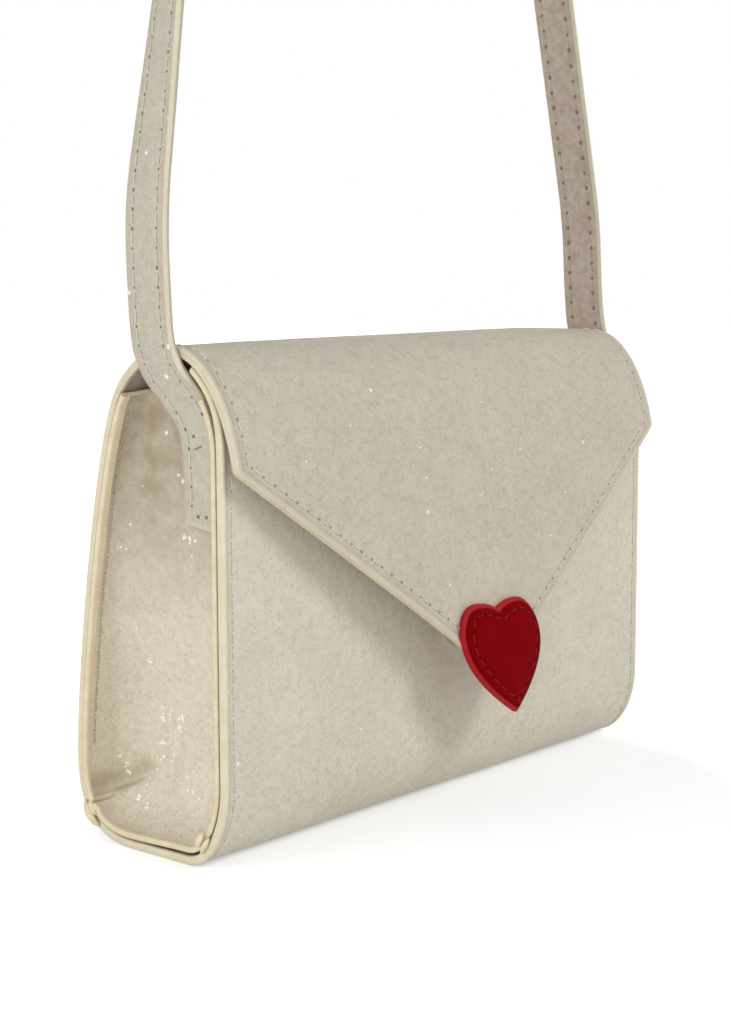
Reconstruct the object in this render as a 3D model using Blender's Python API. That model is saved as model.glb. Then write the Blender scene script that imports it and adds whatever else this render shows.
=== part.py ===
"""Envelope bag: a small structured shoulder bag with an envelope flap and a heart tab.

One long sheet laminate runs from the curled top of the front panel, down the front,
under the base, up the back and over the top, where it becomes the flap. Two gussets
close the ends: each is a sheet pressed into a shallow tray whose flange lies inside
the long sheet, raw edge to raw edge. A strap of two layers is sewn to the gussets.

Frame: X along the bag, the front faces -Y, Z up, the base rests on Z = 0.
"""
import math

import bmesh
import bpy
from mathutils import Vector

# Overall size of the bag, in metres
bag_length = 0.170
bag_depth = 0.050
bag_height = 0.118

# Sheets of the laminate, outside to inside, and the gaps kept between pieces
shell_thickness = 0.0007
board_thickness = 0.0005
lining_thickness = 0.0006
layer_gap = 0.0001
piece_gap = 0.0003
board_margin = 0.0035

# Front panel: its top edge curls back below the flap
curl_clearance = 0.0024
front_curl_height = 0.0196
front_curl_setback = 0.0099

# Bottom corners of the end profile: upright and level reach of each curve
front_corner_height = 0.020
front_corner_width = 0.013
base_flat_depth = 0.018
back_corner_height = 0.019

# Fold at the top of the back, where the flap turns
fold_drop = 0.0102
fold_setback = 0.0157

# Flap profile: how far each line lies below the ridge, and proud of the front panel
ridge_setback = 0.016
flap_corner_drop = 0.027
flap_corner_proud = 0.0046
flap_corner_inset = 0.0005
heart_seat_drop = 0.064
heart_seat_proud = 0.0112
flap_tip_drop = 0.0845
flap_tip_proud = 0.0139
flap_corner_round = 0.003
flap_tip_radius = 0.006

# Gussets
gusset_thickness = 0.0009
gusset_lining_thickness = 0.0006
gusset_recess_top = 0.0055
gusset_recess_base = 0.0125
gusset_fold_radius = 0.0009
gusset_slope_start = 0.020
gusset_slope_end = 0.076
gusset_spine_base = 0.022

# Strap
strap_width = 0.012
strap_outer_thickness = 0.0009
strap_backing_thickness = 0.0008
strap_side_clearance = 0.0004
strap_tab_base_height = 0.078
strap_tab_flat_length = 0.008
strap_tab_front_clearance = 0.0010
strap_exit_height = 0.107
strap_exit_setback = 0.0153
strap_lap_clearance = 0.0002
strap_sway_height = 0.016
strap_sway_depth = 0.0051
strap_leg_straight = 0.0145
strap_bend_radius = 0.110
strap_exit_lean = math.radians(26)
strap_lean_angle = math.radians(11.2)
strap_back_lean = math.radians(2.0)
strap_loop_radius = 0.066

# Heart tab
heart_width = 0.0320
heart_height = 0.0288
heart_overhang = 0.0095
heart_base_thickness = 0.0014
heart_face_thickness = 0.0010

# Magnetic snap: socket on the front panel, stud on the flap
snap_radius = 0.007
snap_above_tip = 0.013
socket_height = 0.0024
socket_hole_radius = 0.0026
socket_hole_depth = 0.0016
stud_disc_height = 0.0010
stud_pin_radius = 0.0021
stud_pin_length = 0.0018
snap_rim_bevel = 0.0004
washer_radius = 0.0075
washer_thickness = 0.0003
prong_width = 0.0030
prong_thickness = 0.0005
prong_offset = 0.0034
slot_clearance = 0.0002
cut_overrun = 0.002

# Shares of the curve sizes that place each curve's handles, or the point itself
front_curl_handle_shares = ((0.50, 0.165), (0.0, 0.48))
corner_handle_share = 0.55
back_corner_handle_shares = (0.47, 0.84)
back_bow_handle_shares = (0.24, 0.43, 0.11)
crown_back_handle_shares = (0.16, 0.43, 0.52)
crown_front_handle_shares = (0.46, 0.146, 0.59)
flap_front_handle_shares = (0.23, 0.32)
heart_half_shares = (
    ((0.0, 0.884), (0.12, 0.965), (0.33, 1.0), (0.52, 1.0)),
    ((0.52, 1.0), (0.79, 1.0), (1.0, 0.86), (1.0, 0.68)),
    ((1.0, 0.68), (1.0, 0.42), (0.44, 0.16), (0.0, 0.0)),
)
sway_handle_share = 0.42
gusset_ring_shares = (0.35, 0.86)

# Facet counts
curl_steps = 6
corner_steps = 8
bow_steps = 8
crown_steps = 9
flap_front_steps = 6
flap_diagonal_steps = 5
round_steps = 4
tab_bend_steps = 6
strap_bend_steps = 4
strap_loop_steps = 12
heart_steps = 7
disc_steps = 32
gusset_fold_steps = 2

# Sizes that follow from the ones above
half_length = bag_length / 2
front_face = -bag_depth / 2
back_face = bag_depth / 2
board_near = shell_thickness + layer_gap
lining_near = board_near + board_thickness + layer_gap
laminate_thickness = lining_near + lining_thickness
gusset_lining_near = laminate_thickness + piece_gap
gusset_near = gusset_lining_near + gusset_lining_thickness + layer_gap
gusset_inner = gusset_near + gusset_thickness
strap_thickness = strap_outer_thickness + layer_gap + strap_backing_thickness
base_front = front_face + front_corner_width
base_back = base_front + base_flat_depth


def clear_scene():
    for item in list(bpy.data.objects):
        bpy.data.objects.remove(item, do_unlink=True)


def make_material(name, colour, roughness, metallic=0.0):
    material = bpy.data.materials.new(name)
    material.use_nodes = True
    shader = material.node_tree.nodes["Principled BSDF"]
    shader.inputs["Base Color"].default_value = (*colour, 1.0)
    shader.inputs["Roughness"].default_value = roughness
    shader.inputs["Metallic"].default_value = metallic
    return material


def make_object(name, mesh_data, material):
    mesh = bpy.data.meshes.new(name)
    mesh_data.to_mesh(mesh)
    mesh_data.free()
    mesh.materials.append(material)
    item = bpy.data.objects.new(name, mesh)
    bpy.context.scene.collection.objects.link(item)
    return item


def loft(sections):
    """Close a solid through sections of equal point count, with a flat cap at each end."""
    mesh = bmesh.new()
    rings = [[mesh.verts.new(point) for point in section] for section in sections]
    count = len(rings[0])
    for ring, following in zip(rings[:-1], rings[1:]):
        for i in range(count):
            j = (i + 1) % count
            mesh.faces.new((ring[i], ring[j], following[j], following[i]))
    mesh.faces.new(list(reversed(rings[0])))
    mesh.faces.new(rings[-1])
    bmesh.ops.recalc_face_normals(mesh, faces=mesh.faces)
    return mesh


def bezier(start, handle_a, handle_b, end, steps):
    """Points of a cubic curve after its start, in any number of dimensions."""
    points = []
    for i in range(1, steps + 1):
        t = i / steps
        weights = ((1 - t) ** 3, 3 * t * (1 - t) ** 2, 3 * t * t * (1 - t), t ** 3)
        rows = zip(start, handle_a, handle_b, end)
        points.append(tuple(sum(w * v for w, v in zip(weights, row)) for row in rows))
    return points


# End profile, as points (y, z) from the front top round to the tip of the flap

def front_top():
    return (front_face + front_curl_setback, bag_height - laminate_thickness - curl_clearance)


def fold_point():
    return (back_face - fold_setback, bag_height - fold_drop)


def body_profile():
    """The long sheet from the curled front top to the fold at the top of the back."""
    top_y, top_z = front_top()
    fold_y, fold_z = fold_point()
    curl_end_z = top_z - front_curl_height
    (near_y, near_z), (far_y, far_z) = front_curl_handle_shares
    points = [(top_y, top_z)]
    points += bezier(points[0],
                     (top_y - near_y * front_curl_setback, top_z - near_z * front_curl_height),
                     (front_face + far_y * front_curl_setback, curl_end_z + far_z * front_curl_height),
                     (front_face, curl_end_z), curl_steps)
    points.append((front_face, front_corner_height))
    points += bezier(points[-1],
                     (front_face, front_corner_height * (1 - corner_handle_share)),
                     (base_front - front_corner_width * corner_handle_share, 0),
                     (base_front, 0), corner_steps)
    points.append((base_back, 0))
    level, upright = back_corner_handle_shares
    points += bezier(points[-1],
                     (base_back + level * (back_face - base_back), 0),
                     (back_face, back_corner_height * (1 - upright)),
                     (back_face, back_corner_height), corner_steps)
    rise = fold_z - back_corner_height
    low, high_y, high_z = back_bow_handle_shares
    points += bezier(points[-1],
                     (back_face, back_corner_height + low * rise),
                     (fold_y + high_y * fold_setback, fold_z - high_z * rise),
                     (fold_y, fold_z), bow_steps)
    return points


def flap_profile():
    """The same sheet from the fold, over the ridge and down to the flap's pointed tip."""
    fold_y, fold_z = fold_point()
    ridge = (front_face + ridge_setback, bag_height)
    corner = (front_face - flap_corner_proud, bag_height - flap_corner_drop)
    seat = (front_face - heart_seat_proud, bag_height - heart_seat_drop)
    tip = (front_face - flap_tip_proud, bag_height - flap_tip_drop)
    back_run = fold_y - ridge[0]
    front_run = ridge[0] - corner[0]
    drop = corner[1] - seat[1]
    out, up, level = crown_back_handle_shares
    points = [(fold_y, fold_z)]
    points += bezier(points[0], (fold_y - out * back_run, fold_z + up * fold_drop),
                     (ridge[0] + level * back_run, bag_height), ridge, crown_steps)
    level, out, up = crown_front_handle_shares
    points += bezier(ridge, (ridge[0] - level * front_run, bag_height),
                     (corner[0] + out * front_run, corner[1] + up * flap_corner_drop),
                     corner, crown_steps)
    down, pull = flap_front_handle_shares
    flare = out * front_run / (up * flap_corner_drop)
    lean = (seat[0] - tip[0]) / (seat[1] - tip[1])
    points += bezier(corner,
                     (corner[0] - flare * down * drop, corner[1] - down * drop),
                     (seat[0] + pull * drop * lean, seat[1] + pull * drop),
                     seat, flap_front_steps)
    points.append(tip)
    return points


def lengths_along(points):
    total = 0.0
    lengths = [0.0]
    for (ay, az), (by, bz) in zip(points[:-1], points[1:]):
        total += math.hypot(by - ay, bz - az)
        lengths.append(total)
    return lengths


def point_at(points, lengths, distance):
    for i in range(1, len(points)):
        if distance <= lengths[i] or i == len(points) - 1:
            share = (distance - lengths[i - 1]) / (lengths[i] - lengths[i - 1])
            (ay, az), (by, bz) = points[i - 1], points[i]
            return (ay + share * (by - ay), az + share * (bz - az))
    return points[-1]


def miters(points):
    """For each point, the inward step that moves both its segments in by one unit."""
    normals = []
    for (ay, az), (by, bz) in zip(points[:-1], points[1:]):
        run = math.hypot(by - ay, bz - az)
        normals.append((-(bz - az) / run, (by - ay) / run))
    steps = [normals[0]]
    for (ay, az), (by, bz) in zip(normals[:-1], normals[1:]):
        spread = 1 + ay * by + az * bz
        steps.append(((ay + by) / spread, (az + bz) / spread))
    steps.append(normals[-1])
    return steps


def moved_in(points, depth, before=(), after=()):
    """The profile at a depth; the points before and after it only turn its end cuts."""
    steps = miters([*before, *points, *after])[len(before):]
    return [(y + depth * my, z + depth * mz) for (y, z), (my, mz) in zip(points, steps)]


def trimmed(points, start, end):
    """Cut a length off the first and the last segment of a profile."""
    lengths = lengths_along(points)
    first = point_at(points, lengths, start)
    last = point_at(points, lengths, lengths[-1] - end)
    return [first] + points[1:-1] + [last]


class Run:
    """A stretch of the long sheet: its points, its half widths and the cuts at its ends."""

    def __init__(self, points, half_widths, before=(), after=(), cut_start=0, cut_end=0):
        self.points = points
        self.half_widths = half_widths
        self.before = before
        self.after = after
        self.cut_start = cut_start
        self.cut_end = cut_end

    def at(self, depth):
        line = moved_in(self.points, depth, self.before, self.after)
        return trimmed(line, self.cut_start, self.cut_end)


def sheet(name, run, near, far, material):
    """A bent sheet: one run of the profile between two depths, as wide as the run says."""
    outer = run.at(near)
    inner = run.at(far)
    half_widths = run.half_widths
    sections = []
    for (oy, oz), (iy, iz), half in zip(outer, inner, half_widths):
        sections.append(((-half, oy, oz), (half, oy, oz), (half, iy, iz), (-half, iy, iz)))
    return make_object(name, loft(sections), material)


def subtract(item, cutter):
    cut = item.modifiers.new(cutter.name, "BOOLEAN")
    cut.operation = "DIFFERENCE"
    cut.object = cutter


def unite(item, tool):
    join = item.modifiers.new(tool.name, "BOOLEAN")
    join.operation = "UNION"
    join.object = tool


def as_guide(item):
    item.hide_render = True
    item.display_type = "WIRE"
    return item


# Round and square pieces placed on a seat: an origin, the axis that they stand along and
# the direction across the bag's length

class Seat:
    def __init__(self, origin, axis):
        self.origin = Vector(origin)
        self.axis = Vector(axis).normalized()
        self.across = Vector((1, 0, 0))
        self.side = self.axis.cross(self.across)

    def place(self, across, side, height):
        return self.origin + across * self.across + side * self.side + height * self.axis


def lathe(seat, profile):
    """Turn a closed outline of (radius, height) corners round the seat's axis."""
    sections = []
    for radius, height in profile:
        ring = []
        for i in range(disc_steps):
            turn = 2 * math.pi * i / disc_steps
            ring.append(seat.place(radius * math.cos(turn), radius * math.sin(turn), height))
        sections.append(ring)
    return loft(sections)


def block(seat, across, width, thickness, low, high):
    """A square post on the seat, at a distance across from its axis."""
    sections = []
    for height in (low, high):
        sections.append([seat.place(across + a * thickness / 2, s * width / 2, height)
                         for a, s in ((-1, -1), (1, -1), (1, 1), (-1, 1))])
    return loft(sections)


def add_prongs(item, seat, low, high, material):
    for sign in (-1, 1):
        mesh = block(seat, sign * prong_offset, prong_width, prong_thickness, low, high)
        unite(item, as_guide(make_object(f"{item.name}_prong_{sign}", mesh, material)))


def cut_slots(item, seat, low, high, material):
    for sign in (-1, 1):
        mesh = block(seat, sign * prong_offset, prong_width + 2 * slot_clearance,
                     prong_thickness + 2 * slot_clearance, low - cut_overrun, high + cut_overrun)
        subtract(item, as_guide(make_object(f"{item.name}_slot_{sign}", mesh, material)))


def cut_disc(item, seat, radius, low, high, material):
    outline = ((radius, low - cut_overrun), (radius, high + cut_overrun))
    subtract(item, as_guide(make_object(f"{item.name}_hole", lathe(seat, outline), material)))


# Body

def make_body(materials):
    points = body_profile()
    run = Run(points, [half_length] * len(points), after=flap_profile()[1:2], cut_end=piece_gap / 2)
    shell = sheet("body_shell", run, 0, shell_thickness, materials["glitter"])
    sheet("body_lining", run, lining_near, laminate_thickness, materials["suede"])
    return shell


def board_between(name, points, first, last, material):
    stretch = points[first:last + 1]
    halves = [half_length - board_margin] * len(stretch)
    run = Run(stretch, halves, cut_start=board_margin / 2, cut_end=board_margin / 2)
    return sheet(name, run, board_near, board_near + board_thickness, material)


def make_boards(materials):
    """Paperboard stiffeners between the two sheets, one for each face of the bag."""
    points = body_profile()
    front_end = curl_steps + 1
    base_start = front_end + corner_steps
    back_start = base_start + 1 + corner_steps
    front = board_between("front_board", points, curl_steps, front_end, materials["board"])
    board_between("base_board", points, base_start, base_start + 1, materials["board"])
    board_between("back_board", points, back_start, len(points) - 1, materials["board"])
    return front


# Flap

def flap_rows():
    """Points along the flap at which its sheets have a row, with half widths."""
    points = flap_profile()
    lengths = lengths_along(points)
    corner_at = lengths[2 * crown_steps]
    seat_at = lengths[2 * crown_steps + flap_front_steps]
    tip_at = lengths[-1]
    corner_half = half_length - flap_corner_inset
    slope = corner_half / (tip_at - corner_at)
    half_angle = math.atan(slope)
    centre_at = tip_at - flap_tip_radius / math.sin(half_angle)
    tangent_at = centre_at + flap_tip_radius * math.sin(half_angle)

    def half_width(distance):
        into = distance - corner_at + flap_corner_round
        if into <= 0:
            return half_length - flap_corner_inset * distance / corner_at
        if into < 2 * flap_corner_round:
            return corner_half - slope * into * into / (4 * flap_corner_round)
        if distance <= tangent_at:
            return slope * (tip_at - distance)
        return math.sqrt(max(flap_tip_radius ** 2 - (distance - centre_at) ** 2, 0))

    stations = [d for d in lengths if abs(d - corner_at) > flap_corner_round and d < tip_at]
    for i in range(round_steps + 1):
        stations.append(corner_at + flap_corner_round * (2 * i / round_steps - 1))
    for i in range(1, flap_diagonal_steps):
        stations.append(seat_at + (tangent_at - seat_at) * i / flap_diagonal_steps)
    turned = math.pi / 2 - half_angle
    for i in range(round_steps):
        angle = math.pi / 2 - turned + turned * i / round_steps
        stations.append(centre_at + flap_tip_radius * math.sin(angle))
    stations = sorted(stations)
    return [point_at(points, lengths, d) for d in stations], [half_width(d) for d in stations]


def make_flap(materials):
    rows, halves = flap_rows()
    run = Run(rows, halves, before=body_profile()[-2:-1], cut_start=piece_gap / 2)
    sheet("flap_shell", run, 0, shell_thickness, materials["glitter"])
    lining = sheet("flap_lining", run, lining_near, laminate_thickness, materials["suede"])
    kept = [i for i in range(1, len(rows)) if halves[i] > 2 * board_margin + snap_radius / 2]
    board_run = Run([rows[i] for i in kept], [halves[i] - board_margin for i in kept])
    board = sheet("flap_board", board_run, board_near, board_near + board_thickness, materials["board"])
    return lining, board


def flap_seat(above_tip, depth):
    """The place on the flap's straight end at a distance above its tip, and its inward axis."""
    seat_y = front_face - heart_seat_proud
    seat_z = bag_height - heart_seat_drop
    tip_y = front_face - flap_tip_proud
    tip_z = bag_height - flap_tip_drop
    up = Vector((0, seat_y - tip_y, seat_z - tip_z)).normalized()
    inward = Vector((0, up.z, -up.y))
    origin = Vector((0, tip_y, tip_z)) + above_tip * up + depth * inward
    return origin, up, inward


# Heart tab on the flap's tip

def heart_outline():
    """Points (x, z) of the heart, from its notch round the right side to the tip and back."""
    half = [heart_half_shares[0][0]]
    for curve in heart_half_shares:
        half += bezier(*curve, heart_steps)
    right = [(x * heart_width / 2, z * heart_height) for x, z in half]
    left = [(-x, z) for x, z in reversed(right[1:-1])]
    return right + left


def heart_plate(name, near, far, material):
    origin, up, inward = flap_seat(-heart_overhang, 0)
    sections = []
    for height in (near, far):
        sections.append([origin + Vector((x, 0, 0)) + z * up - height * inward
                         for x, z in heart_outline()])
    return make_object(name, loft(sections), material)


def make_heart(materials):
    base_near = piece_gap / 2
    face_near = base_near + heart_base_thickness + layer_gap
    heart_plate("heart_base", base_near, base_near + heart_base_thickness, materials["heart_edge"])
    heart_plate("heart_face", face_near, face_near + heart_face_thickness, materials["heart_face"])


# Magnetic snap, whose prongs pass through a sheet into a hidden washer

def washer_plate(name, seat, low, materials):
    outline = ((washer_radius, low), (washer_radius, low + washer_thickness))
    item = make_object(name, lathe(seat, outline), materials["steel"])
    cut_slots(item, seat, low, low + washer_thickness, materials["steel"])
    return item


def make_socket(shell, board, materials):
    """The socket stands on the front panel, so its seat's axis points forward."""
    stud_origin, _, _ = flap_seat(snap_above_tip, 0)
    seat = Seat((0, front_face, stud_origin.z), (0, -1, 0))
    bore = socket_hole_radius
    outline = ((snap_radius, layer_gap),
               (snap_radius, socket_height - snap_rim_bevel),
               (snap_radius - snap_rim_bevel, socket_height),
               (bore, socket_height),
               (bore, socket_height - socket_hole_depth))
    socket = make_object("snap_socket", lathe(seat, outline), materials["brass"])
    washer_middle = -(board_near + board_thickness / 2)
    washer_low = washer_middle - washer_thickness / 2
    add_prongs(socket, seat, washer_low, layer_gap + socket_height / 4, materials["brass"])
    washer_plate("snap_socket_washer", seat, washer_low, materials)
    cut_slots(shell, seat, -shell_thickness, 0, materials["glitter"])
    cut_disc(board, seat, washer_radius + piece_gap, washer_low, 0, materials["board"])


def make_stud(lining, board, materials):
    """The stud stands on the inside of the flap, so its seat's axis points at the panel."""
    origin, _, inward = flap_seat(snap_above_tip, laminate_thickness)
    seat = Seat(origin, inward)
    disc_top = layer_gap + stud_disc_height
    outline = ((snap_radius, layer_gap),
               (snap_radius, disc_top - snap_rim_bevel),
               (snap_radius - snap_rim_bevel, disc_top),
               (stud_pin_radius, disc_top),
               (stud_pin_radius, disc_top + stud_pin_length))
    stud = make_object("snap_stud", lathe(seat, outline), materials["brass"])
    washer_middle = -(lining_thickness + layer_gap + board_thickness / 2)
    washer_low = washer_middle - washer_thickness / 2
    add_prongs(stud, seat, washer_low, layer_gap + stud_disc_height / 2, materials["brass"])
    washer_plate("snap_stud_washer", seat, washer_low, materials)
    cut_slots(lining, seat, -lining_thickness, 0, materials["suede"])
    cut_disc(board, seat, washer_radius + piece_gap, washer_low, 0, materials["board"])


# Gussets

def gusset_profile():
    """The part of the long sheet that the gusset's flange lies against."""
    body = body_profile()
    flap = flap_profile()
    return body[curl_steps // 2:] + flap[1:2]


def gusset_recess(height):
    """How far the gusset's face lies inside the raw edges, at a height."""
    share = (height - gusset_slope_start) / (gusset_slope_end - gusset_slope_start)
    share = min(max(share, 0), 1)
    blend = share * share * (3 - 2 * share)
    return gusset_recess_base + blend * (gusset_recess_top - gusset_recess_base)


def gusset_columns():
    """For each point of the flange, its profile point, inward step and spine point."""
    points = gusset_profile()
    steps = miters(points)
    inner = moved_in(points, gusset_inner)
    top_y = (inner[0][0] + inner[-1][0]) / 2
    columns = []
    for point, step, (_, inner_z) in zip(points, steps, inner):
        height = max(inner_z, gusset_spine_base)
        share = (height - gusset_spine_base) / (bag_height - gusset_spine_base)
        columns.append((point, step, (share * top_y, height)))
    return columns


def gusset_surface(side, depth, columns):
    """One face of the gusset's sheet at a depth inside the long sheet's outer face."""
    rows = []
    for (y, z), (my, mz), (spine_y, spine_z) in columns:
        flange_y = y + depth * my
        flange_z = z + depth * mz
        base_y = y + gusset_inner * my
        base_z = z + gusset_inner * mz
        behind = gusset_inner - depth
        run = math.hypot(spine_y - base_y, spine_z - base_z)
        way_y = (spine_y - base_y) / run
        way_z = (spine_z - base_z) / run
        recess = gusset_recess(base_z)
        row = [(side * half_length, flange_y, flange_z)]
        for i in range(gusset_fold_steps + 1):
            turn = math.pi / 2 * i / gusset_fold_steps
            inset = gusset_fold_radius * (1 - math.cos(turn))
            sunk = recess - gusset_fold_radius * (1 - math.sin(turn))
            row.append((side * (half_length - sunk - behind * math.sin(turn)),
                        base_y + inset * way_y - behind * math.cos(turn) * my,
                        base_z + inset * way_z - behind * math.cos(turn) * mz))
        for share in gusset_ring_shares:
            inset = gusset_fold_radius + share * (run - gusset_fold_radius)
            face_y = base_y + inset * way_y
            face_z = base_z + inset * way_z
            sunk = gusset_recess(face_z)
            row.append((side * (half_length - sunk - behind), face_y, face_z))
        rows.append(row)
    return rows


def zip_columns(front, back):
    """Index triples that close the strip between two upright columns of points."""
    triples = []
    i, j = 0, 0
    while i < len(front) - 1 or j < len(back) - 1:
        next_front = front[i + 1][2] if i < len(front) - 1 else -math.inf
        next_back = back[j + 1][2] if j < len(back) - 1 else -math.inf
        if next_front >= next_back:
            triples.append((("front", i), ("front", i + 1), ("back", j)))
            i += 1
        else:
            triples.append((("front", i), ("back", j + 1), ("back", j)))
            j += 1
    return triples


def gusset_solid(side, near, far):
    columns = gusset_columns()
    mesh = bmesh.new()
    layers = []
    for depth in (far, near):
        surface = gusset_surface(side, depth, columns)
        layers.append([[mesh.verts.new(p) for p in row] for row in surface])
    lowest = min(range(len(columns)), key=lambda i: columns[i][0][1] + abs(columns[i][0][0]))
    last = len(columns) - 1
    rings = len(layers[0][0]) - 1
    for grid in layers:
        for a, b in zip(grid[:-1], grid[1:]):
            for k in range(rings):
                mesh.faces.new((a[k], a[k + 1], b[k + 1], b[k]))
    front = [layers[0][i][rings].co for i in range(lowest + 1)]
    back = [layers[0][i][rings].co for i in range(last, lowest - 1, -1)]
    for triple in zip_columns(front, back):
        ids = [i if column == "front" else last - i for column, i in triple]
        if len(set(ids)) == 3:
            for grid in layers:
                mesh.faces.new([grid[i][rings] for i in ids])
    first, second = layers
    for i in range(last):
        mesh.faces.new((first[i][0], first[i + 1][0], second[i + 1][0], second[i][0]))
    for i in (0, last):
        for k in range(rings):
            mesh.faces.new((first[i][k], first[i][k + 1], second[i][k + 1], second[i][k]))
    mesh.faces.new((first[0][rings], first[last][rings], second[last][rings], second[0][rings]))
    bmesh.ops.recalc_face_normals(mesh, faces=mesh.faces)
    return mesh


def make_gussets(materials):
    for word, side in (("left", -1), ("right", 1)):
        mesh = gusset_solid(side, gusset_near, gusset_inner)
        make_object(f"gusset_{word}", mesh, materials["glitter"])
        mesh = gusset_solid(side, gusset_lining_near, gusset_lining_near + gusset_lining_thickness)
        make_object(f"gusset_lining_{word}", mesh, materials["suede"])


# Strap: every row is a point (x, z) of the strip's outer face with the strip's front and
# back edge there. Rows run level from front to back, so that the layers stay parallel

def strap_exit_y():
    return front_face + strap_exit_setback


def strap_leg_x():
    """Outer face of the strap where it stands beside the bag."""
    return half_length + strap_side_clearance + strap_thickness


def strap_lap_x():
    """Outer face of the strap's end, which lies beside the sewn end just clear of the raw edges."""
    return half_length + strap_lap_clearance + strap_thickness


def strip_rows(points):
    """Front and back edges of a strip of even width, from its middle points (x, y, z)."""
    rows = []
    for i, (x, y, z) in enumerate(points):
        ax, ay, az = points[max(i - 1, 0)]
        bx, by, bz = points[min(i + 1, len(points) - 1)]
        run = math.hypot(bx - ax, bz - az)
        reach = strap_width / 2 * math.hypot(run, by - ay) / run
        rows.append((x, z, y - reach, y + reach))
    return rows


def round_end_rows(x, way):
    """Rows of the half circle round the strap's exit that ends a leaning strip.

    The way is 1 where the strip comes from below and -1 where it comes from above.
    """
    radius = strap_width / 2
    rows = []
    turns = [-strap_exit_lean, 0]
    turns += [strap_exit_lean + (math.pi / 2 - strap_exit_lean) * i / round_steps for i in range(round_steps)]
    for turn in turns:
        level = way * radius * math.sin(turn)
        middle = strap_exit_y() + level * math.tan(strap_exit_lean)
        line = radius / math.cos(strap_exit_lean)
        arc = radius * math.cos(turn)
        front = strap_exit_y() - arc
        back = strap_exit_y() + arc
        if turn <= strap_exit_lean and way > 0:
            front = middle - line
        if turn <= strap_exit_lean and way < 0:
            back = middle + line
        rows.append((x, strap_exit_height + level, front, back))
    return rows


def exit_point(x, way):
    """Where the strip's even part ends and its half circle starts."""
    level = -way * strap_width / 2 * math.sin(strap_exit_lean)
    return (x, strap_exit_y() + level * math.tan(strap_exit_lean), strap_exit_height + level)


def strap_leg():
    """Middle points of the strap's outer face, from its exit up to the start of the loop."""
    start = exit_point(strap_lap_x(), -1)
    x = strap_leg_x()
    _, y, z = start
    top_z = strap_exit_height + strap_sway_height
    top_y = strap_exit_y() + strap_sway_depth
    reach = (top_z - z) * sway_handle_share
    points = [start]
    points += bezier(start, (x, y + reach * math.tan(strap_exit_lean), z + reach),
                     (x, top_y - reach * math.tan(strap_back_lean), top_z - reach),
                     (x, top_y, top_z), round_steps)
    bend_z = top_z + strap_leg_straight
    for i in range(strap_bend_steps + 1):
        turn = strap_lean_angle * i / strap_bend_steps
        level = bend_z + strap_bend_radius * math.sin(turn)
        points.append((x - strap_bend_radius * (1 - math.cos(turn)),
                       top_y + (level - top_z) * math.tan(strap_back_lean), level))
    return points


def strap_right_half():
    """The leg, and the quarter of the loop above it up to the middle of the bag."""
    points = strap_leg()
    bend_x, bend_y, bend_z = points[-1]
    loop_x = strap_loop_radius * math.cos(strap_lean_angle)
    loop_z = bend_z + (bend_x - loop_x) / math.tan(strap_lean_angle)
    centre_z = loop_z - strap_loop_radius * math.sin(strap_lean_angle)
    for i in range(strap_loop_steps + 1):
        turn = strap_lean_angle + (math.pi / 2 - strap_lean_angle) * i / strap_loop_steps
        level = centre_z + strap_loop_radius * math.sin(turn)
        points.append((strap_loop_radius * math.cos(turn),
                       bend_y + (level - bend_z) * math.tan(strap_back_lean), level))
    return points


def strip_layer(name, rows, near, far, side, material):
    """One layer of a strip, between two depths below its outer face."""
    line = [(x, z) for x, z, _, _ in rows]
    sections = []
    for (ox, oz), (ix, iz), (_, _, front, back) in zip(moved_in(line, near), moved_in(line, far), rows):
        sections.append(((side * ox, front, oz), (side * ox, back, oz),
                         (side * ix, back, iz), (side * ix, front, iz)))
    return make_object(name, loft(sections), material)


def strip_pair(outer_name, backing_name, rows, side, materials):
    """The two sewn layers of a stretch of strap."""
    backing_near = strap_outer_thickness + layer_gap
    strip_layer(outer_name, rows, 0, strap_outer_thickness, side, materials["glitter"])
    strip_layer(backing_name, rows, backing_near, strap_thickness, side, materials["suede"])


def make_strap(materials):
    right = strap_right_half()
    left = [(-x, y, z) for x, y, z in reversed(right[:-1])]
    right_end = list(reversed(round_end_rows(strap_lap_x(), -1)))
    left_end = round_end_rows(-strap_lap_x(), -1)
    rows = right_end[:-1] + strip_rows(right + left) + left_end[1:]
    strip_pair("strap_outer", "strap_backing", rows, 1, materials)


def strap_tab_rows():
    """The sewn end, from the right gusset out to the strap's exit beside the bag."""
    face_x = half_length - gusset_recess_top + piece_gap + strap_thickness
    end = exit_point(strap_lap_x() - strap_thickness - piece_gap, 1)
    tab_y = front_face + gusset_inner + strap_tab_front_clearance + strap_width / 2
    bend = (face_x, tab_y, strap_tab_base_height + strap_tab_flat_length)
    reach = (end[2] - bend[2]) * sway_handle_share
    points = [(face_x, tab_y, strap_tab_base_height), bend]
    points += bezier(bend, (face_x, tab_y, bend[2] + reach),
                     (end[0], end[1] - reach * math.tan(strap_exit_lean), end[2] - reach),
                     end, tab_bend_steps)
    return strip_rows(points)[:-1] + round_end_rows(end[0], 1)


def make_strap_tabs(materials):
    for word, side in (("left", -1), ("right", 1)):
        strip_pair(f"strap_tab_{word}", f"strap_tab_backing_{word}", strap_tab_rows(), side, materials)


def make_materials():
    return {
        "glitter": make_material("glitter_sheet", (0.58, 0.53, 0.43), 0.45),
        "suede": make_material("suede_backing", (0.47, 0.37, 0.30), 0.9),
        "board": make_material("stiffener_board", (0.42, 0.33, 0.22), 0.85),
        "heart_edge": make_material("heart_edge_red", (0.42, 0.012, 0.02), 0.4),
        "heart_face": make_material("heart_patent_red", (0.20, 0.003, 0.006), 0.18),
        "brass": make_material("snap_metal", (0.62, 0.60, 0.55), 0.25, 1.0),
        "steel": make_material("washer_steel", (0.50, 0.50, 0.50), 0.35, 1.0),
    }


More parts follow.
